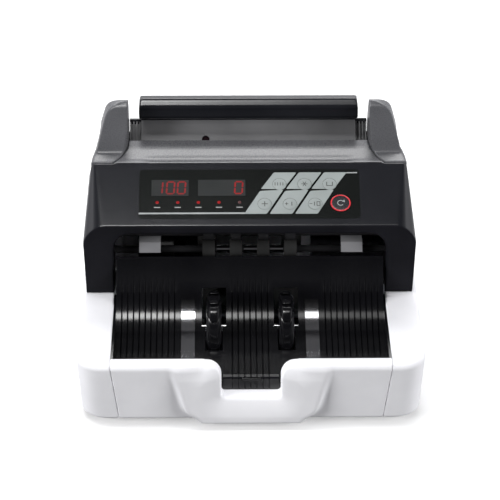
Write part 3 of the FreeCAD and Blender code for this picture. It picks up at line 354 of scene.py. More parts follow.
def revolve(profile, place, count):
    """Vertices and faces of a profile of (radius, w) turned about the w axis, open at both ends."""
    vertices = [place(r * math.cos(2 * math.pi * i / count), r * math.sin(2 * math.pi * i / count), w)
                for r, w in profile for i in range(count)]
    faces = [[j * count + i, j * count + (i + 1) % count, (j + 1) * count + (i + 1) % count,
              (j + 1) * count + i] for j in range(len(profile) - 1) for i in range(count)]
    return vertices, faces


def turned(name, profile, place, body, slot_name, count=64, **more):
    """A piece turned about the w axis, closed at both ends."""
    vertices, faces = revolve(profile, place, count)
    faces.append(list(range(count))[::-1])
    last = (len(profile) - 1) * count
    faces.append([last + i for i in range(count)])
    return piece(name, vertices, faces, body, slot_name, sharp=more.pop("sharp", 40), **more)


def grid_faces(rows, wide, kept=lambda r, c: True):
    """Faces over rows of points, each row so many points wide."""
    return [[r * wide + c, r * wide + c + 1, (r + 1) * wide + c + 1, (r + 1) * wide + c]
            for r in range(rows - 1) for c in range(wide - 1) if kept(r, c)]


def flat_x(u, v, w):
    """A plane at right angles to X: outline (y, z), thickness along X."""
    return w, u, v


def flat_y(u, v, w):
    """A plane at right angles to Y: outline (x, z), thickness towards the operator."""
    return u, -w, v


SIDES = ((1, "right"), (-1, "left"))


def facing(side, low, high):
    """A box on the right, or its mirror image on the left."""
    if side > 0:
        return low, high
    return (-high[0], *low[1:]), (-low[0], *high[1:])


# ---- white lower shell -----------------------------------------------------------------------

side_low, side_high = span("right_side_cover")
front_low, front_high = span("front_cover")
BODY, RIM, FOOT = side_high[0], side_high[2], side_low[2]
FRONT, REAR = side_low[1], side_high[1]
TRAY, WALL_BACK = front_high[0], front_high[1]
PLAN_RADIUS, WALL = 22, 3
OPEN_HALF, OPEN_FRONT, OPEN_BACK, OPEN_FLOOR = 134, -3.2, 122, 50
SEAM_FOOT, SEAM_BACK, SEAM_GAP = 108, -100, 0.14
REAR_HALF, REAR_FRONT = 112, 112
NOTCH_HALF, NOTCH_FLOOR, NOTCH_ROUND, NOTCH_TOP, FLARE = 24.2, 27.2, 3, 90, 13.3
NOTCH = [(0, NOTCH_FLOOR), (NOTCH_HALF - NOTCH_ROUND, NOTCH_FLOOR)]
NOTCH += [(NOTCH_HALF - NOTCH_ROUND + NOTCH_ROUND * math.sin(t),
           NOTCH_FLOOR + NOTCH_ROUND - NOTCH_ROUND * math.cos(t)) for t in np.linspace(0.2, math.pi / 2, 6)]
NOTCH += [(NOTCH_HALF + FLARE - FLARE * math.cos(t), RIM - FLARE + FLARE * math.sin(t))
          for t in np.linspace(0, math.pi / 2, 12)]
NOTCH += [(NOTCH_HALF + FLARE, NOTCH_TOP), (0, NOTCH_TOP)]
NOTCH = [(-a, b) for a, b in NOTCH[:0:-1] if a > 0] + NOTCH
BULGE = soften([(-42, 2), (42, 2), (43, FOOT + 1), (54, FOOT + 8), (64.5, RIM - 5), (62, RIM + 3),
                (-62, RIM + 3), (-64.5, RIM - 5), (-54, FOOT + 8), (-43, FOOT + 1)], 7)
STAND_Z, STAND = [FOOT, FOOT + 6, RIM - 12, RIM - 4, RIM], [6, 6, 3.4, 2.0, 0.4]
DRAW_IN, EDGE_ROUND, BEVEL, BEVEL_SLOPE = 3, 4, 4.6, 0.46


def shell_mass(x, y, z):
    """The white shell as if it were solid: it draws in downwards and swells out round the notch."""
    draw_in = DRAW_IN * np.clip((RIM - EDGE_ROUND - z) / (RIM - EDGE_ROUND - FOOT), 0, 1.2)
    qx = np.abs(x) - (BODY - draw_in - PLAN_RADIUS)
    qy = np.abs(y - (FRONT + REAR) / 2) - ((REAR - FRONT) / 2 - draw_in - PLAN_RADIUS)
    plan = (np.hypot(np.maximum(qx, 0), np.maximum(qy, 0)) + np.minimum(np.maximum(qx, qy), 0)
            - PLAN_RADIUS)
    face = FRONT - np.interp(z, STAND_Z, STAND) - y
    swelling = most(meet(polygon(x, z, BULGE), face, 5), y - FRONT - 7)
    mass = unite(plan, swelling, EDGE_ROUND)
    mass = meet(mass, z - RIM, EDGE_ROUND)
    notch = polygon(x, z, NOTCH)
    bevel = (BEVEL - notch * BEVEL_SLOPE + face) * 0.9
    mass = meet(mass, np.maximum(bevel, -60), EDGE_ROUND)
    return meet(mass, -notch, 1.6)


def shell(x, y, z):
    """The white shell's walls, with the tray's opening and the place of the hood cut out."""
    mass = shell_mass(x, y, z)
    hollow = np.maximum(mass, -(mass + WALL))
    hollow = meet(hollow, FOOT - z, 0.8)
    tray = most(slab(x, -TRAY, TRAY), WALL_BACK - y, y - OPEN_FRONT)
    under_hood = most(slab(x, -OPEN_HALF, OPEN_HALF), OPEN_FRONT - y, y - OPEN_BACK, OPEN_FLOOR - z)
    return most(meet(hollow, -tray, 1.0), -under_hood)


def seam(x, z):
    """Distance outside the front cover's slanted ends."""
    return np.abs(x) - (SEAM_FOOT + (TRAY - SEAM_FOOT) * (z - FOOT) / (RIM - FOOT))


def front_field(x, y, z):
    """The front cover, between the slanted seams."""
    return most(meet(shell(x, y, z), seam(x, z) + SEAM_GAP, 0.5), y - SEAM_BACK)


def side_field(x, y, z):
    """Both side covers: what the front and rear covers leave of the shell."""
    front_cover = most(seam(x, z) - SEAM_GAP, y - SEAM_BACK)
    rear_cover = most(np.abs(x) - REAR_HALF, REAR_FRONT - y)
    return most(meet(shell(x, y, z), -front_cover, 0.5), -rear_cover)


moulded("front_shell", front_field, front_low, front_high, 1.0, "chassis", "white_shell",
        node="front_cover")
for side, name in SIDES:
    moulded(f"{name}_side_shell", side_field, *facing(side, side_low, side_high), 1.15, "chassis",
            "white_shell", node=f"{name}_side_cover")

BRACKET_FRONT, BRACKET_BACK, BRACKET_MARGIN, BRACKET_LAP = 120, 121.4, 4, 0.1
inlet_low, inlet_high = span("power_inlet")
switch_low, switch_high = span("switch_housing")


def frame_loop(low, high, grow):
    """A rectangle in X and Z round two corners, grown on every side."""
    return [(low[0] - grow, low[2] - grow), (high[0] + grow, low[2] - grow),
            (high[0] + grow, high[2] + grow), (low[0] - grow, high[2] + grow)]


around = frame_loop(np.minimum(inlet_low, switch_low), np.maximum(inlet_high, switch_high), BRACKET_MARGIN)
prism("inlet_bracket", [[around, frame_loop(inlet_low, inlet_high, -BRACKET_LAP),
                         frame_loop(switch_low, switch_high, -BRACKET_LAP)]],
      -BRACKET_BACK, -BRACKET_FRONT, flat_y, "chassis", "black_fitting")

# ---- black hood ------------------------------------------------------------------------------

hood_high = span("hood")[1]
ear_low, ear_high = span("right_ear")
HOOD_HALF, HOOD_FRONT, HOOD_BACK, LIP_Y, LIP_Z = 139.7, -5.0, 120, 90.0, hood_high[2]
RIDGE_Y, RIDGE_Z, LOWER_Z, TILT = ear_low[1], 150.0, 121.2, math.radians(25.75)
SIDE_Z = [RIM, 105, 150, 160]
SIDE_X = [138, 139.7, 133.8, 133.8]
TAPER_Y = [RIDGE_Y, 66, 77, 86, 120]
TAPER = [0, 0.8, 2.3, 4.6, 5.4]
DECK_Y = [RIDGE_Y, 60, 62.5, 74.5, 79, LIP_Y]
DECK_Z = [RIDGE_Z, 150.15, 150.4, 152.3, 152.75, LIP_Z]
SCOOP_HALF, SCOOP_DEPTH = 90, 0.35
EAR_BASE, EAR_GAP = 146, 0.12
ARCH_FOOT, ARCH_SPRING, ARCH_ROUND = 30, 99, 15
ARCH = [(-TRAY, ARCH_FOOT), (TRAY, ARCH_FOOT)]
ARCH += [(TRAY - ARCH_ROUND + ARCH_ROUND * math.cos(t), ARCH_SPRING + ARCH_ROUND * math.sin(t))
         for t in np.linspace(0, math.pi / 2, 8)]
ARCH += [(-a, b) for a, b in ARCH[:1:-1]]
OVERLAY_HALF, OVERLAY_LOW, OVERLAY_HIGH = 93.2, 7.5, 59.0
LEDGE, SLOT_DEPTH, SLOT_ABOVE = 3, 5, 9


def panel_up(y, z):
    """Distance up the panel's slope from its lower front edge."""
    return (y - HOOD_FRONT) * math.cos(TILT) + (z - LOWER_Z) * math.sin(TILT)


def panel_out(y, z):
    """Distance out from the panel's face."""
    return (z - LOWER_Z) * math.cos(TILT) - (y - HOOD_FRONT) * math.sin(TILT)


def side_gap(x, y, z):
    """Distance outside the hood's flanks, which draw in above and towards the back."""
    taper = np.interp(y, TAPER_Y, TAPER) * np.interp(z, [105, 150], [0, 1])
    return np.abs(x) - np.interp(z, SIDE_Z, SIDE_X) + taper


def deck_top(x, y):
    """Height of the deck behind the panel, slightly hollow along its front."""
    scoop = np.clip((SCOOP_HALF - np.abs(x)) / 5, 0, 1) * np.interp(y, [55.6, 57.6, 61, 66], [0, 1, 1, 0])
    return np.interp(y, DECK_Y, DECK_Z) - SCOOP_DEPTH * scoop


def hood_solid(x, y, z):
    """The hood's outside as if it were solid."""
    top = meet(panel_out(y, z), (z - deck_top(x, y)) * 0.99, 1.0)
    corner = np.interp(y, [HOOD_FRONT, RIDGE_Y], [17, 4])
    return meet(top, side_gap(x, y, z), corner)


def ear_line(x, y):
    """Distance outside the ears' footprint on the deck, whose inner edge curves outwards in front."""
    edge = np.interp(y, [RIDGE_Y - 1, 57, 60, 64, 68, 72, 76, 80, 86],
                     [116.5, 114, 111.4, 109, 107.2, 105.7, 104.6, 103.8, 103.2])
    return (edge - np.abs(x)) * 0.85


def rounded_sheet(x, up, half, low, high, radius):
    """Distance outside a rectangle with round corners, on the panel's slope."""
    qx = np.abs(x) - half + radius
    qu = np.abs(up - (low + high) / 2) - (high - low) / 2 + radius
    return np.hypot(np.maximum(qx, 0), np.maximum(qu, 0)) + np.minimum(np.maximum(qx, qu), 0) - radius


def hood_field(x, y, z):
    """The hood's walls, with the arch, the places of the ears and the hole behind the overlay cut out."""
    solid = hood_solid(x, y, z)
    closed = meet(solid, HOOD_FRONT - y, 0.9)
    wall = np.maximum(closed, -(np.maximum(solid, HOOD_FRONT - y) + WALL))
    wall = meet(wall, -most(polygon(x, z, ARCH), y - 3), 0.9)
    wall = most(wall, y - LIP_Y, RIM - z)
    wall = meet(wall, -most(ear_line(x, y) - EAR_GAP, RIDGE_Y - 0.2 - y, EAR_BASE - z), 0.25)
    sheet = rounded_sheet(x, panel_up(y, z), OVERLAY_HALF - LEDGE, OVERLAY_LOW + LEDGE,
                          OVERLAY_HIGH - LEDGE, 2)
    slot = most(sheet, -SLOT_DEPTH - panel_out(y, z), panel_out(y, z) - SLOT_ABOVE)
    return meet(wall, -slot, 0.5)


def split_finish(obj, material, chosen):
    """Give the faces whose centre, in millimetres, passes the test a finish of their own."""
    obj.data.materials.append(material)
    for face in obj.data.polygons:
        if chosen(*(face.center / MM)):
            face.material_index = len(obj.data.materials) - 1


hood = moulded("hood_moulding", hood_field, (-HOOD_HALF, HOOD_FRONT, RIM), (HOOD_HALF, LIP_Y, LIP_Z), 1.25,
               "chassis", "black_shell", node="hood")
# The deck behind the panel takes the lighter black copy: painted sheen standing in for the light it reflects.
split_finish(hood, painted_sheen_black, lambda x, y, z: y > RIDGE_Y + 0.6 and z > 140)
split_finish(hood, front_black, lambda x, y, z: y < HOOD_FRONT + 0.4)

CHEEK_THICK, CHEEK_FRONT, CHEEK_BACK, CHEEK_TOP = 2, -4.5, 27, 112
LOWER_HOLE, UPPER_HOLE = (12, 90, 7.5), (14, 104.35, 6)


def cheek_field(x, y, z):
    """A side cheek under the arch, with holes for the two lower shafts."""
    outline = meet(slab(y, CHEEK_FRONT, CHEEK_BACK), slab(z, RIM, CHEEK_TOP), 1.5)
    wall = meet(slab(np.abs(x), TRAY, TRAY + CHEEK_THICK), outline, 0.6)
    for hole_y, hole_z, radius in (LOWER_HOLE, UPPER_HOLE):
        wall = np.maximum(wall, radius - np.hypot(y - hole_y, z - hole_z))
    return wall


for side, name in SIDES:
    moulded(f"{name}_cheek", cheek_field, *facing(side, (TRAY, CHEEK_FRONT, RIM),
                                                  (TRAY + CHEEK_THICK, CHEEK_BACK, CHEEK_TOP)),
            0.9, "chassis", "black_shell", material=cheek_black)

EAR_SIDE = soften([(RIDGE_Y, 140), (RIDGE_Y, 150.1), (58, 150.45), (61, 150.95), (64, 151.47), (66.5, 151.98),
                   (68.3, 152.75), (69.8, 154.1), (71.4, 156.4), (73.4, 159.4), (75.6, 162.8), (87, 179),
                   (90.5, 184.5), (97, 188.5), (104, 184.8), (112, 174), (117, 163), (120, 152),
                   (120, 140)], 1.8, 2)
EAR_FACE = soften([(101, 140), (134.4, 140), (134.4, 149.8), (132.2, 151.6), (130.2, 155), (128.6, 160),
                   (125.6, 172), (124.2, 177), (121.6, 181.4), (117.6, 184.6), (112, 187),
                   (101, 189.3)], 2.0, 3)


def ear_field(x, y, z):
    """Both hopper ears, from their outline seen from the side and from the front."""
    lean = np.interp(y, TAPER_Y, TAPER) * np.interp(z, [150, 158], [1, 0.25])
    face = polygon(np.abs(x) + lean * np.clip((np.abs(x) - 112) / 12, 0, 1), z, EAR_FACE)
    form = meet(polygon(y, z, EAR_SIDE), face, 1.6)
    return most(meet(form, ear_line(x, y) + EAR_GAP, 0.4), EAR_BASE + 0.2 - z)


# The ears take the lighter black copy too: painted sheen on the hood's own plastic.
for side, name in SIDES:
    moulded(f"{name}_hopper_ear", ear_field, *facing(side, ear_low, ear_high), 0.9, "chassis",
            "black_shell", material=painted_sheen_black, node=f"{name}_ear")

WELL_HALF, WELL_FLOOR, GUIDE_HALF, GUIDE_TOP = 125, 130, 103, 159.5
PIVOT_Y, PIVOT_Z, KNOB_Z = 124.2, 118, 138
LUG_IN, LUG_OUT, LUG_BACK = 93, 98, 127.8
LUG_SIDE = soften([(118, 108), (121, 108), (LUG_BACK, 113.5), (LUG_BACK, 122.5), (124, 124), (118, 124)], 3)


def rear_cover_field(x, y, z):
    """The black rear cover with the hopper's back rim and the lugs of the handle."""
    solid = meet(side_gap(x, y, z), y - HOOD_BACK, 4)
    solid = meet(solid, z - EAR_BASE, 0.6)
    inner = most(side_gap(x, y, z) + WALL, y - (HOOD_BACK - WALL))
    wall = np.maximum(solid, -inner)
    rim = meet(slab(y, HOOD_BACK - 3.2, HOOD_BACK), slab(z, WELL_FLOOR, GUIDE_TOP), 1.2)
    rim = meet(slab(x, -GUIDE_HALF, GUIDE_HALF), rim, 0.8)
    well = most(np.abs(x) - WELL_HALF, WELL_FLOOR - z, y - (HOOD_BACK - WALL))
    wall = unite(most(wall, -well), rim, 0.4)
    lug = meet(slab(np.abs(x), LUG_IN, LUG_OUT), polygon(y, z, LUG_SIDE), 0.6)
    wall = unite(wall, lug, 0.8)
    pivot = most(np.hypot(y - PIVOT_Y, z - PIVOT_Z) - 2.6, 90 - np.abs(x))
    spindle = most(np.hypot(x, z - KNOB_Z) - 3.1, 110 - y)
    return most(wall, -pivot, -spindle, RIM - z, LIP_Y - y)


moulded("upper_rear_moulding", rear_cover_field, (-HOOD_HALF, LIP_Y, RIM), (HOOD_HALF, LUG_BACK, GUIDE_TOP),
        1.25, "chassis", "black_shell", node="upper_rear_cover")

# ---- control panel ---------------------------------------------------------------------------

def on_panel(u, v, w):
    """Across the panel, up its slope and out from its face."""
    return (u, HOOD_FRONT + v * math.cos(TILT) - w * math.sin(TILT),
            LOWER_Z + v * math.sin(TILT) + w * math.cos(TILT))


def centre_on_panel(node):
    """Across and up the panel, of the middle of a CAD node that stands on it."""
    low, high = span(node)
    middle = (low + high) / 2
    return middle[0], panel_up(middle[1], middle[2])


key_centres = [centre_on_panel(f"key_{i}") for i in range(1, 7)]
reset_centre = centre_on_panel("reset_key")
KEY_RADIUS, RESET_RADIUS = 5.8, 8.6
FILM_LOW, FILM_TOP, PRINT_TOP, DIGIT_TOP, SUNK = -0.06, 0.12, 0.2, 0.25, 0.02
FILM_MARGIN = 0.3
hole_loops = [circle(u, v, KEY_RADIUS + 0.2) for u, v in key_centres]
reset_hole = circle(*reset_centre, RESET_RADIUS + 0.35)
film_half = OVERLAY_HALF - FILM_MARGIN
film_low, film_high = OVERLAY_LOW + FILM_MARGIN, OVERLAY_HIGH - FILM_MARGIN
edge_loop = soften([(-film_half, film_low), (film_half, film_low), (film_half, film_high),
                    (-film_half, film_high)], 4, 8)
prism("overlay_sheet", [[edge_loop, *hole_loops, reset_hole]], FILM_LOW, FILM_TOP, on_panel, "chassis",
      "overlay_film", node="control_overlay")

TILE_STEP = 21.3
UPPER_TILE = [(9.6, 38.2), (28.6, 38.2), (40.0, 55.4), (20.8, 55.4)]
LOWER_TILE = [(-4.6, 12.6), (14.4, 12.6), (28.6, 37.4), (8.9, 36.2)]
tiles = []
for row, outline in enumerate((UPPER_TILE, LOWER_TILE)):
    for column in range(3):
        corners = [(u + column * TILE_STEP, v) for u, v in outline]
        tiles.append([soften(corners, 1.3, 4), hole_loops[row * 3 + column]])
prism("key_tiles", tiles, FILM_TOP - SUNK, PRINT_TOP, on_panel, "chassis", "key_grey")


def printed(name, shapes, material, low=FILM_TOP, high=PRINT_TOP):
    """Print on the control panel, sunk slightly into what it stands on."""
    prism(name, shapes, low - SUNK, high, on_panel, "chassis", "overlay_film", material=material)


def bar(u0, v0, u1, v1, width):
    """A straight stroke with square ends."""
    along = np.array([u1 - u0, v1 - v0], float)
    along /= np.linalg.norm(along)
    across = np.array([-along[1], along[0]]) * width / 2
    start, end = np.array((u0, v0)), np.array((u1, v1))
    return [[tuple(start - across), tuple(end - across), tuple(end + across), tuple(start + across)]]


printed("panel_lines", [[[(-92.9, 12.6), (-4.2, 12.6), (-2.6, 14.2), (-92.9, 14.2)]],
                        [[(81.8, 54.3), (91.4, 54.3), (91.4, 55.4), (82.4, 55.4)]]], print_silver)

WINDOW_LOW, WINDOW_HIGH = 31.4, 47.9
window_loops = [[[(left, WINDOW_LOW), (right, WINDOW_LOW), (right, WINDOW_HIGH), (left, WINDOW_HIGH)]]
                for left, right in ((-82.5, -51.3), (-43.3, -3.5))]
printed("display_windows", window_loops, window_tint)


def seven(u, v, wide, tall, lit, thick=1.35, lean=0.06):
    """A seven-segment figure whose lower left corner is (u, v)."""
    half, blunt, gap = tall / 2, thick / 2, thick * 0.18
    rows = {"a": tall, "g": half, "d": 0}
    strokes = []
    for key in lit:
        if key in rows:
            y = rows[key]
            points = [(blunt + gap, y), (thick + gap, y + blunt), (wide - thick - gap, y + blunt),
                      (wide - blunt - gap, y), (wide - thick - gap, y - blunt), (thick + gap, y - blunt)]
        else:
            x = blunt if key in "ef" else wide - blunt
            low, high = (0, half) if key in "ec" else (half, tall)
            points = [(x, low + gap), (x + blunt, low + blunt + gap), (x + blunt, high - blunt - gap),
                      (x, high - gap), (x - blunt, high - blunt - gap), (x - blunt, low + blunt + gap)]
        strokes.append([[(u + a + b * lean, v + b) for a, b in points]])
    return strokes


FIGURE_LOW, FIGURE_WIDE, FIGURE_TALL = 33.6, 7.6, 12.2
ONE, ZERO = "bc", "abcdef"
figures = []
for u, lit in ((-80.6, ONE), (-70.6, ZERO), (-61.4, ZERO), (-13.2, ZERO)):
    figures += seven(u, FIGURE_LOW, FIGURE_WIDE, FIGURE_TALL, lit)
printed("display_figures", figures, digit_red, PRINT_TOP, DIGIT_TOP)

LAMP_LEFT, LAMP_STEP, LAMP_UP, LAMP_RADIUS = -77.6, 17.3, 24.6, 1.45
DASH_HALF, DASH_DROP, DASH_WIDTH = 2.6, 5.1, 0.8
lamp_spots = [(LAMP_LEFT + i * LAMP_STEP, LAMP_UP) for i in range(5)]
lamp_loops = [[circle(u, v, LAMP_RADIUS, 24)] for u, v in lamp_spots]
printed("status_lamps", lamp_loops[:4], lamp_red)
printed("status_lamp_off", lamp_loops[4:], lamp_dim)
printed("lamp_marks", [bar(u - DASH_HALF, v - DASH_DROP, u + DASH_HALF, v - DASH_DROP, DASH_WIDTH)
                       for u, v in lamp_spots], print_pale)

GLYPHS = [
    [bar(-3.6, -1.6, -3.6, 1.6, 0.6), bar(-1.4, -1.6, -1.4, 1.6, 0.6), bar(0.8, -1.6, 0.8, 1.6, 0.6),
     bar(3.0, -1.6, 3.0, 1.6, 0.6)],
    [bar(-2.6, 0, 2.6, 0, 0.6), bar(-1.3, -2.25, 1.3, 2.25, 0.6), bar(-1.3, 2.25, 1.3, -2.25, 0.6)],
    [bar(-2.4, -1.8, -2.4, 2.0, 0.7), bar(2.4, -1.8, 2.4, 2.0, 0.7), bar(-2.7, -1.8, 2.7, -1.8, 0.7)],
    [bar(-2.6, 0, 2.6, 0, 0.7), bar(0, -2.6, 0, 2.6, 0.7)],
    [bar(-4.2, 0, -1.4, 0, 0.6), bar(-2.8, -1.4, -2.8, 1.4, 0.6), bar(1.6, -2.0, 1.6, 2.0, 0.7)],
    [bar(-4.8, 0, -2.4, 0, 0.6), bar(-0.6, -2.0, -0.6, 2.0, 0.7), bar(1.5, -2.0, 1.5, 2.0, 0.6),
     bar(4.0, -2.0, 4.0, 2.0, 0.6), bar(1.2, -2.0, 4.3, -2.0, 0.6), bar(1.2, 2.0, 4.3, 2.0, 0.6)],
]


def panel_spot(u0, v0):
    """Places on the panel measured from one point of it."""
    return lambda u, v, w: on_panel(u0 + u, v0 + v, w)


def stepped_in(radius, rows):
    """A profile for turning, its rows given as (distance in from the radius, w)."""
    return [(radius - inset, w) for inset, w in rows]


DOME_TOP, RESET_TOP = 0.5, 0.56
KEY_ROWS = [(0.3, -2.2), (0, -1.9), (0, 0.0), (0.12, 0.22), (0.5, 0.35), (1.4, 0.46), (3, DOME_TOP)]
RESET_ROWS = [(0.3, -2.2), (0, -1.9), (0, 0.0), (0.14, 0.25), (0.6, 0.42), (1.7, 0.54), (3, RESET_TOP)]
RING_ROWS = [(1.25, 0.5), (1.2, 0.62), (0.5, 0.55), (0.1, 0.36), (0.12, 0.15)]
for i, centre in enumerate(key_centres):
    spot = panel_spot(*centre)
    turned(f"key_dome_{i + 1}", stepped_in(KEY_RADIUS, KEY_ROWS), spot, f"button_{i + 1}", "key_grey",
           node=f"key_{i + 1}")
    prism(f"key_mark_{i + 1}", GLYPHS[i], DOME_TOP - SUNK, DOME_TOP + 0.03, spot, f"button_{i + 1}",
          "key_grey", material=print_dark)
spot = panel_spot(*reset_centre)
turned("reset_dome", stepped_in(RESET_RADIUS, RESET_ROWS), spot, "reset_button", "reset_black",
       node="reset_key")
ring_vertices, ring_faces = revolve(stepped_in(RESET_RADIUS, RING_ROWS), spot, 72)
# The reset key's printed red ring, with a painted glow.
piece("reset_ring", ring_vertices, [face[::-1] for face in ring_faces], "reset_button", "reset_black",
      material=red_print_painted_glow)
ARROW_OUTER, ARROW_INNER = 2.9, 2.2
sweep = [math.radians(a) for a in range(40, 321, 20)]
arrow = [[(ARROW_OUTER * math.cos(t), ARROW_OUTER * math.sin(t)) for t in sweep]
         + [(ARROW_INNER * math.cos(t), ARROW_INNER * math.sin(t)) for t in sweep[::-1]]]
head = [[(1.0, 1.5), (3.6, 0.6), (3.3, 3.3)]]
prism("reset_mark", [arrow, head], RESET_TOP - SUNK, RESET_TOP + 0.04, spot, "reset_button", "reset_black",
      material=print_silver)

# ---- stacker ---------------------------------------------------------------------------------

front_y = span("stacker_plate")[0][1]
SLOPE, CURVE, STEEP = math.radians(12), 60.0, math.radians(75)
TRAY_Y, TRAY_Z = -50.0, 44.8
CURVE_Y, CURVE_Z = TRAY_Y - CURVE * math.sin(SLOPE), TRAY_Z + CURVE * math.cos(SLOPE)
TRAY_HALF, TRAY_THICK = TRAY - 2, 1.4
TONGUE_BACK = -98
TRAY_TOP = (-3.7, 91.2)
SLOT_IN, SLOT_OUT, SLOT_TOP, SLOT_STEP = 20.0, 40.4, -14.5, -43
NECK_IN, NECK_OUT, NECK_FRONT = 22.9, 37.5, -70.5
STRIP_IN, STRIP_OUT, STRIP_FRONT, STRIP_END = 46.2, 57.5, -103, math.radians(43)
STRIP_LIFT, STRIP_FACE, STRIP_EDGE = 0.62, 0.1, 0.5
BED_IN, BED_OUT = 46.0, 58.2
RIB_PITCH, RIB_GROOVE = 5, 1.3
RIB_DEPTH = RIB_GROOVE * 0.72
FADE_Z = [62, 84]


def tray_floor(y):
    """Height of the tray's straight slope."""
    return TRAY_Z + (y - TRAY_Y) * math.tan(SLOPE)


def tray_line(front, last=STEEP, lift=0.0):
    """Points (y, z) and upward normals along the tray, from the front to the top of its curve."""
    straight = (front, TONGUE_BACK, -90, -82, -76, NECK_FRONT, -64, -57, TRAY_Y)
    rows = [(y, tray_floor(y), SLOPE) for y in straight if y >= front]
    angles = [math.asin((y - CURVE_Y) / CURVE) for y in (SLOT_STEP, SLOT_TOP)]
    angles = sorted([*np.linspace(SLOPE + 0.04, last, 26), *[a for a in angles if a < last]])
    rows += [(CURVE_Y + CURVE * math.sin(a), CURVE_Z - CURVE * math.cos(a), a) for a in angles]
    return [(y - lift * math.sin(a), z + lift * math.cos(a), a) for y, z, a in rows]


def ribbed(low, high):
    """Columns (x, depth) between two places: flat lands with narrow V grooves between them."""
    count = max(1, round((high - low) / RIB_PITCH))
    step = (high - low) / count
    columns = [(low, 0.0)]
    for i in range(1, count):
        x = low + i * step
        columns += [(x - RIB_GROOVE / 2, 0.0), (x, RIB_DEPTH), (x + RIB_GROOVE / 2, 0.0)]
    return columns + [(high, 0.0)]


def tray_open(x, y):
    """True where the tray is cut away: round the stacker wheels and over the notch."""
    slot = SLOT_IN < x < SLOT_OUT and SLOT_STEP < y < SLOT_TOP
    neck = NECK_IN < x < NECK_OUT and NECK_FRONT < y < SLOT_STEP
    return slot or neck or (x < NOTCH_HALF and y < TONGUE_BACK)


outer = ribbed(BED_OUT, TRAY_HALF)
beside = [(x, 0.0) for x in (SLOT_IN, NECK_IN, NECK_OUT, SLOT_OUT, BED_IN)]
middle_ribs = ribbed(-SLOT_IN, SLOT_IN)[1:-1]
columns = ([(-x, depth) for x, depth in outer[::-1]] + [(-x, depth) for x, depth in beside[::-1]]
           + middle_ribs + beside + outer)
rows = tray_line(front_y + 2) + [(*TRAY_TOP, STEEP)]
vertices = []
for y, z, angle in rows:
    for x, depth in columns:
        sink = depth * np.interp(z, FADE_Z, [1, 0])
        vertices.append((x, y + sink * math.sin(angle), z - sink * math.cos(angle)))
middle_x = [abs(near[0] + far[0]) / 2 for near, far in zip(columns, columns[1:])]
middle_y = [(low[0] + high[0]) / 2 for low, high in zip(rows, rows[1:])]
faces = grid_faces(len(rows), len(columns), lambda r, c: not tray_open(middle_x[c], middle_y[r]))
tray = piece("tray_liner", vertices, faces, "chassis", "black_gloss", node="stacker_plate", sharp=50)
tray.data.materials.append(front_black)
modify(tray, "SOLIDIFY", thickness=TRAY_THICK * MM, offset=-1, material_offset_rim=1)

WALL_LOW, WALL_TOP, SIDE_WALL_LOW = 31, 55.5, 34
for side, name in SIDES:
    low, high = sorted((side * TRAY_HALF, side * TRAY))
    outline = [(front_y, SIDE_WALL_LOW), (-5, SIDE_WALL_LOW), (-5, WALL_TOP), (front_y, WALL_TOP)]
    prism(f"tray_wall_{name}", [[soften(outline, 1.5)]], low, high, flat_x, "chassis", "black_gloss")
lip = NOTCH_HALF + 0.2
wall_loops = []
for side in (1, -1):
    line = [(side * TRAY_HALF, WALL_LOW), (side * TRAY_HALF, WALL_TOP), (side * 38.4, WALL_TOP),
            (side * 31, 52.3), (side * 26, 46.8), (side * lip, 41), (side * lip, WALL_LOW)]
    wall_loops.append([line if side < 0 else line[::-1]])
prism("tray_front_wall", wall_loops, -(front_y + 2), -front_y, flat_y, "chassis", "black_gloss")

STEP_BACK, STEP_FRONT = -100.9, -101.3
columns = [(-NOTCH_HALF, 0)] + middle_ribs + [(NOTCH_HALF, 0)]
rows = [(TONGUE_BACK, tray_floor(TONGUE_BACK)), (STEP_BACK, 33.95), (STEP_FRONT, 32.3), (-108.6, 27.4),
        (-108.6, 26.0)]
vertices = [(x, y + depth * math.sin(SLOPE), z - depth * math.cos(SLOPE))
            for y, z in rows for x, depth in columns]
faces = [face[::-1] for face in grid_faces(len(rows), len(columns))]
# The tongue takes the lighter black copy: painted light on its band.
tongue = piece("tray_tongue", vertices, faces, "chassis", "black_gloss", material=tongue_painted_light_black, sharp=50)
split_finish(tongue, front_black, lambda x, y, z: STEP_FRONT < y < STEP_BACK)
modify(tongue, "SOLIDIFY", thickness=TRAY_THICK * MM, offset=-1)


def block_field(x, y, z):
    """The small block on the tongue, its top sloping forwards."""
    outline = meet(slab(x, -7.5, 8.5), slab(y, -102.9, -98.5), 0.6)
    return meet(outline, z - 34.7 - (y - TONGUE_BACK) * 0.3, 0.4)


moulded("tongue_block", block_field, (-8, -103.3, 30), (9, -98, 35), 0.5, "chassis", "black_gloss")

rows = tray_line(STRIP_FRONT, STRIP_END, STRIP_LIFT)
for side, name in SIDES:
    low, high = sorted((side * STRIP_IN, side * STRIP_OUT))
    columns = [(low, -STRIP_EDGE), (low, STRIP_FACE), (high, STRIP_FACE), (high, -STRIP_EDGE)]
    vertices = [(x, y - lift * math.sin(angle), z + lift * math.cos(angle))
                for y, z, angle in rows for x, lift in columns]
    piece(f"guide_strip_{name}", vertices, grid_faces(len(rows), len(columns)), "chassis", "polished_steel",
          sharp=40, node="guide_strips" if side > 0 else ())

wheel_low, wheel_high = span("impeller_wheels")
WHEEL_Y, WHEEL_Z = (wheel_low[1] + wheel_high[1]) / 2, (wheel_low[2] + wheel_high[2]) / 2
WHEEL_R = (wheel_high[1] - wheel_low[1]) / 2
WHEEL_X, WHEEL_HALF, HUB_RADIUS, BORE_RADIUS = 30.2, 6.3, 15, 3.0
FINGERS, FINGER_SWEEP, FINGER_ROOT = 12, 0.11, 13.5
TIP_START, TIP_LENGTH = 22.5, 9
DISH_RADIUS, DISH_HALF, DISH_LAND = 9.5, 3.2, 4.8


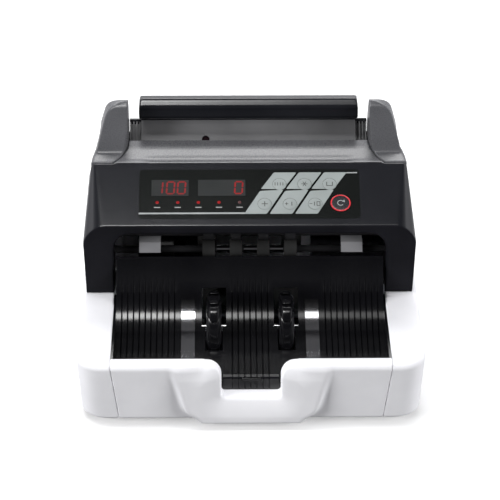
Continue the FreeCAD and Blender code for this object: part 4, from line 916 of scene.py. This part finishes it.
def wheel_field(x, y, z):
    """A hub with curved fingers whose tips are rounded, thinner towards the tip."""
    dy, dz = y - WHEEL_Y, z - WHEEL_Z
    radius, turn = np.hypot(dy, dz), np.arctan2(dz, dy)
    swing = FINGER_SWEEP * (radius - FINGER_ROOT)
    pitch = 2 * math.pi / FINGERS
    local = np.mod(turn - swing + 0.1 + pitch / 2, pitch) - pitch / 2
    finger = (np.abs(local) * radius / np.hypot(1, radius * FINGER_SWEEP)
              - np.interp(radius, [13, 20, WHEEL_R], [1.95, 1.85, 1.65]))
    finger = meet(finger, radius - WHEEL_R + 0.1, 0.9)
    flat = unite(radius - HUB_RADIUS, most(finger, 12 - radius), 1.0)
    beyond = np.clip(radius - TIP_START, 0, TIP_LENGTH) / TIP_LENGTH
    half = WHEEL_HALF * np.sqrt(np.clip(1 - beyond ** 2, 0.04, 1))
    body = meet(flat, (np.abs(np.abs(x) - WHEEL_X) - half) * 0.8, 0.9)
    dish = most(np.abs(radius - DISH_RADIUS) - DISH_HALF, DISH_LAND - np.abs(np.abs(x) - WHEEL_X))
    return most(meet(body, -dish, 0.5), BORE_RADIUS - radius)


for side, name in SIDES:
    box = facing(side, (WHEEL_X - WHEEL_HALF, *wheel_low[1:]), (WHEEL_X + WHEEL_HALF, *wheel_high[1:]))
    moulded(f"stacker_wheel_{name}", wheel_field, *box, 0.7, "stacker_rotor", "black_gloss",
            node="impeller_wheels" if side > 0 else ())

exit_low, exit_high = span("exit_shaft")
EXIT_Y, EXIT_Z = (exit_low[1:] + exit_high[1:]) / 2


def round_exit(middle):
    """Places round the exit shaft, w along it from one point."""
    return lambda u, v, w: (middle + w, EXIT_Y + u, EXIT_Z + v)


SLEEVE = [(3.05, -6), (3.5, -5.6), (3.5, 5.6), (3.05, 6)]
for number, middle in enumerate((-22.2, 0.8, 22.8)):
    turned(f"exit_sleeve_{number + 1}", SLEEVE, round_exit(middle), "exit_rotor", "polished_steel")

# ---- handle ----------------------------------------------------------------------------------

grip_low, grip_high = span("handle_grip")
GRIP = soften([(104, 166), (118, 164.8), (121, 168), (121, 178), (117, 183), (109.3, 183), (103, 178),
               (103, 169)], 2.0, 4)
ARM = soften([(121.4, 115.2), (127, 115.2), (127, 171), (124, 176), (120.6, 176), (120.6, 166),
              (121.4, 160)], 2.2, 4)
ARM_IN, ARM_OUT, ARM_FRONT, ARM_BACK, ARM_LOW, ARM_TOP = 86, 92, 120.6, 127, 115, 176


def grip_field(x, y, z):
    """The handle's grip, its ends leaning in above."""
    ends = np.abs(x) - grip_high[0] - 1 + np.clip((z - 176) * 0.16, 0, 1.2)
    return meet(polygon(y, z, GRIP), ends, 1.6)


def arm_field(x, y, z):
    """Both handle arms with the pins that reach into the rear cover's lugs."""
    arm = meet(slab(np.abs(x), ARM_IN, ARM_OUT), polygon(y, z, ARM), 1.2)
    pin = meet(slab(np.abs(x), 88, LUG_OUT), np.hypot(y - PIVOT_Y, z - PIVOT_Z) - 2.5, 0.4)
    return unite(arm, pin, 0.3)


moulded("grip_bar", grip_field, grip_low, grip_high, 0.9, "handle", "black_shell", node="handle_grip")
for side, name in SIDES:
    box = facing(side, (ARM_IN, ARM_FRONT, ARM_LOW), (LUG_OUT, ARM_BACK, ARM_TOP))
    moulded(f"handle_arm_{name}", arm_field, *box, 0.8, "handle", "black_shell",
            node="handle_arms" if side > 0 else ())

# ---- floor, light and camera -----------------------------------------------------------------

floor_material = surface("floor_paint", (0.86, 0.86, 0.86), (0.88, 0.88, 0.88), (0.7, 0.8), 60, 0.01, cloud=3,
                         emission=0.3, level=0.1)
FLOOR_HALF = 6
floor_mesh = bpy.data.meshes.new("floor")
floor_mesh.from_pydata([(-FLOOR_HALF, -FLOOR_HALF, 0), (FLOOR_HALF, -FLOOR_HALF, 0),
                        (FLOOR_HALF, FLOOR_HALF, 0), (-FLOOR_HALF, FLOOR_HALF, 0)], [], [(0, 1, 2, 3)])
floor_mesh.materials.append(floor_material)
floor = bpy.data.objects.new("floor", floor_mesh)
bpy.context.scene.collection.objects.link(floor)
floor.visible_glossy = False
floor.visible_diffuse = False

world = bpy.data.worlds.new("studio")
bpy.context.scene.world = world
world.use_nodes = True
nodes, links = world.node_tree.nodes, world.node_tree.links
coords = nodes.new("ShaderNodeTexCoord")
axes = nodes.new("ShaderNodeSeparateXYZ")
links.new(coords.outputs["Generated"], axes.inputs["Vector"])


def sky_ramp(source, stops):
    """A grey ramp along one direction of the sky."""
    ramp = nodes.new("ShaderNodeValToRGB")
    for i, (place, grey) in enumerate(stops):
        stop = ramp.color_ramp.elements[i] if i < 2 else ramp.color_ramp.elements.new(place)
        stop.position = place
        stop.color = (grey, grey, grey * 1.02, 1)
    links.new(source, ramp.inputs["Fac"])
    return ramp.outputs["Color"]


shift = nodes.new("ShaderNodeMapRange")
node_input(shift, "From Min", -1)
node_input(shift, "From Max", 1)
links.new(axes.outputs["Y"], shift.inputs["Value"])
HEIGHT_STOPS = [(0.0, 0.7), (1.0, 0.10), (0.40, 1.8), (0.50, 2.3), (0.62, 0.8), (0.8, 0.13)]
DEPTH_STOPS = [(0.0, 0.04), (1.0, 1.0), (0.3, 0.06), (0.6, 0.5)]
COLOUR_A, COLOUR_B, COLOUR_RESULT = 6, 7, 2
by_height = sky_ramp(axes.outputs["Z"], HEIGHT_STOPS)
by_depth = sky_ramp(shift.outputs["Result"], DEPTH_STOPS)
product = nodes.new("ShaderNodeMix")
product.data_type, product.blend_type = "RGBA", "MULTIPLY"
node_input(product, "Factor", 1)
links.new(by_height, product.inputs[COLOUR_A])
links.new(by_depth, product.inputs[COLOUR_B])
links.new(product.outputs[COLOUR_RESULT], nodes["Background"].inputs["Color"])
node_input(nodes["Background"], "Strength", 1.0)


def softbox(name, location, target, wide, tall, power, glossy=True):
    """A rectangular lamp that faces a target."""
    light = bpy.data.lights.new(name, "AREA")
    light.shape = "RECTANGLE"
    light.size, light.size_y = wide, tall
    light.energy = power
    obj = bpy.data.objects.new(name, light)
    bpy.context.scene.collection.objects.link(obj)
    obj.location = location
    obj.rotation_euler = (Vector(target) - Vector(location)).to_track_quat("-Z", "Y").to_euler()
    obj.visible_camera = False
    obj.visible_glossy = glossy


BOX_Y, BOX_HEIGHT, BOX_DEPTH = -0.04, 1.15, 0.2
for name, aside, wide, power in (("top_left_box", -0.33, 0.54, 5.2), ("top_middle_box", 0.0, 0.12, 0.5),
                                 ("top_right_box", 0.28, 0.44, 0.6)):
    softbox(name, (aside, BOX_Y, BOX_HEIGHT), (aside, BOX_Y, 0), wide, BOX_DEPTH, power)
softbox("back_box", (0, 0.98, 1.10), (0, 0.072, 0.152), 1.3, 0.28, 9)
softbox("left_fill", (-2.0, -1.1, 0.7), (0, 0, 0.05), 1.0, 1.0, 51, glossy=False)
softbox("right_fill", (2.05, -1.0, 0.65), (0, 0, 0.05), 1.0, 1.0, 43, glossy=False)

SENSOR_WIDTH, FOCAL_LENGTH, CAMERA_DISTANCE = 36, 178.776, 2.1
AZIMUTH, ELEVATION, ROLL = math.radians(0.8), math.radians(30), math.radians(0.2)
camera_data = bpy.data.cameras.new("camera")
camera_data.sensor_width = SENSOR_WIDTH
camera_data.lens = FOCAL_LENGTH
camera_data.clip_end = 50
camera = bpy.data.objects.new("camera", camera_data)
bpy.context.scene.collection.objects.link(camera)
target = Vector((0.0004, 0.0096, 0.090))
view_back = Vector((-math.sin(AZIMUTH) * math.cos(ELEVATION), -math.cos(AZIMUTH) * math.cos(ELEVATION),
                    math.sin(ELEVATION)))
camera.location = target + view_back * CAMERA_DISTANCE
upright = (-view_back).to_track_quat("-Z", "Y")
camera.rotation_euler = (upright @ Quaternion((0, 0, 1), ROLL)).to_euler()
bpy.context.scene.camera = camera
bpy.context.scene.view_settings.view_transform = "Standard"
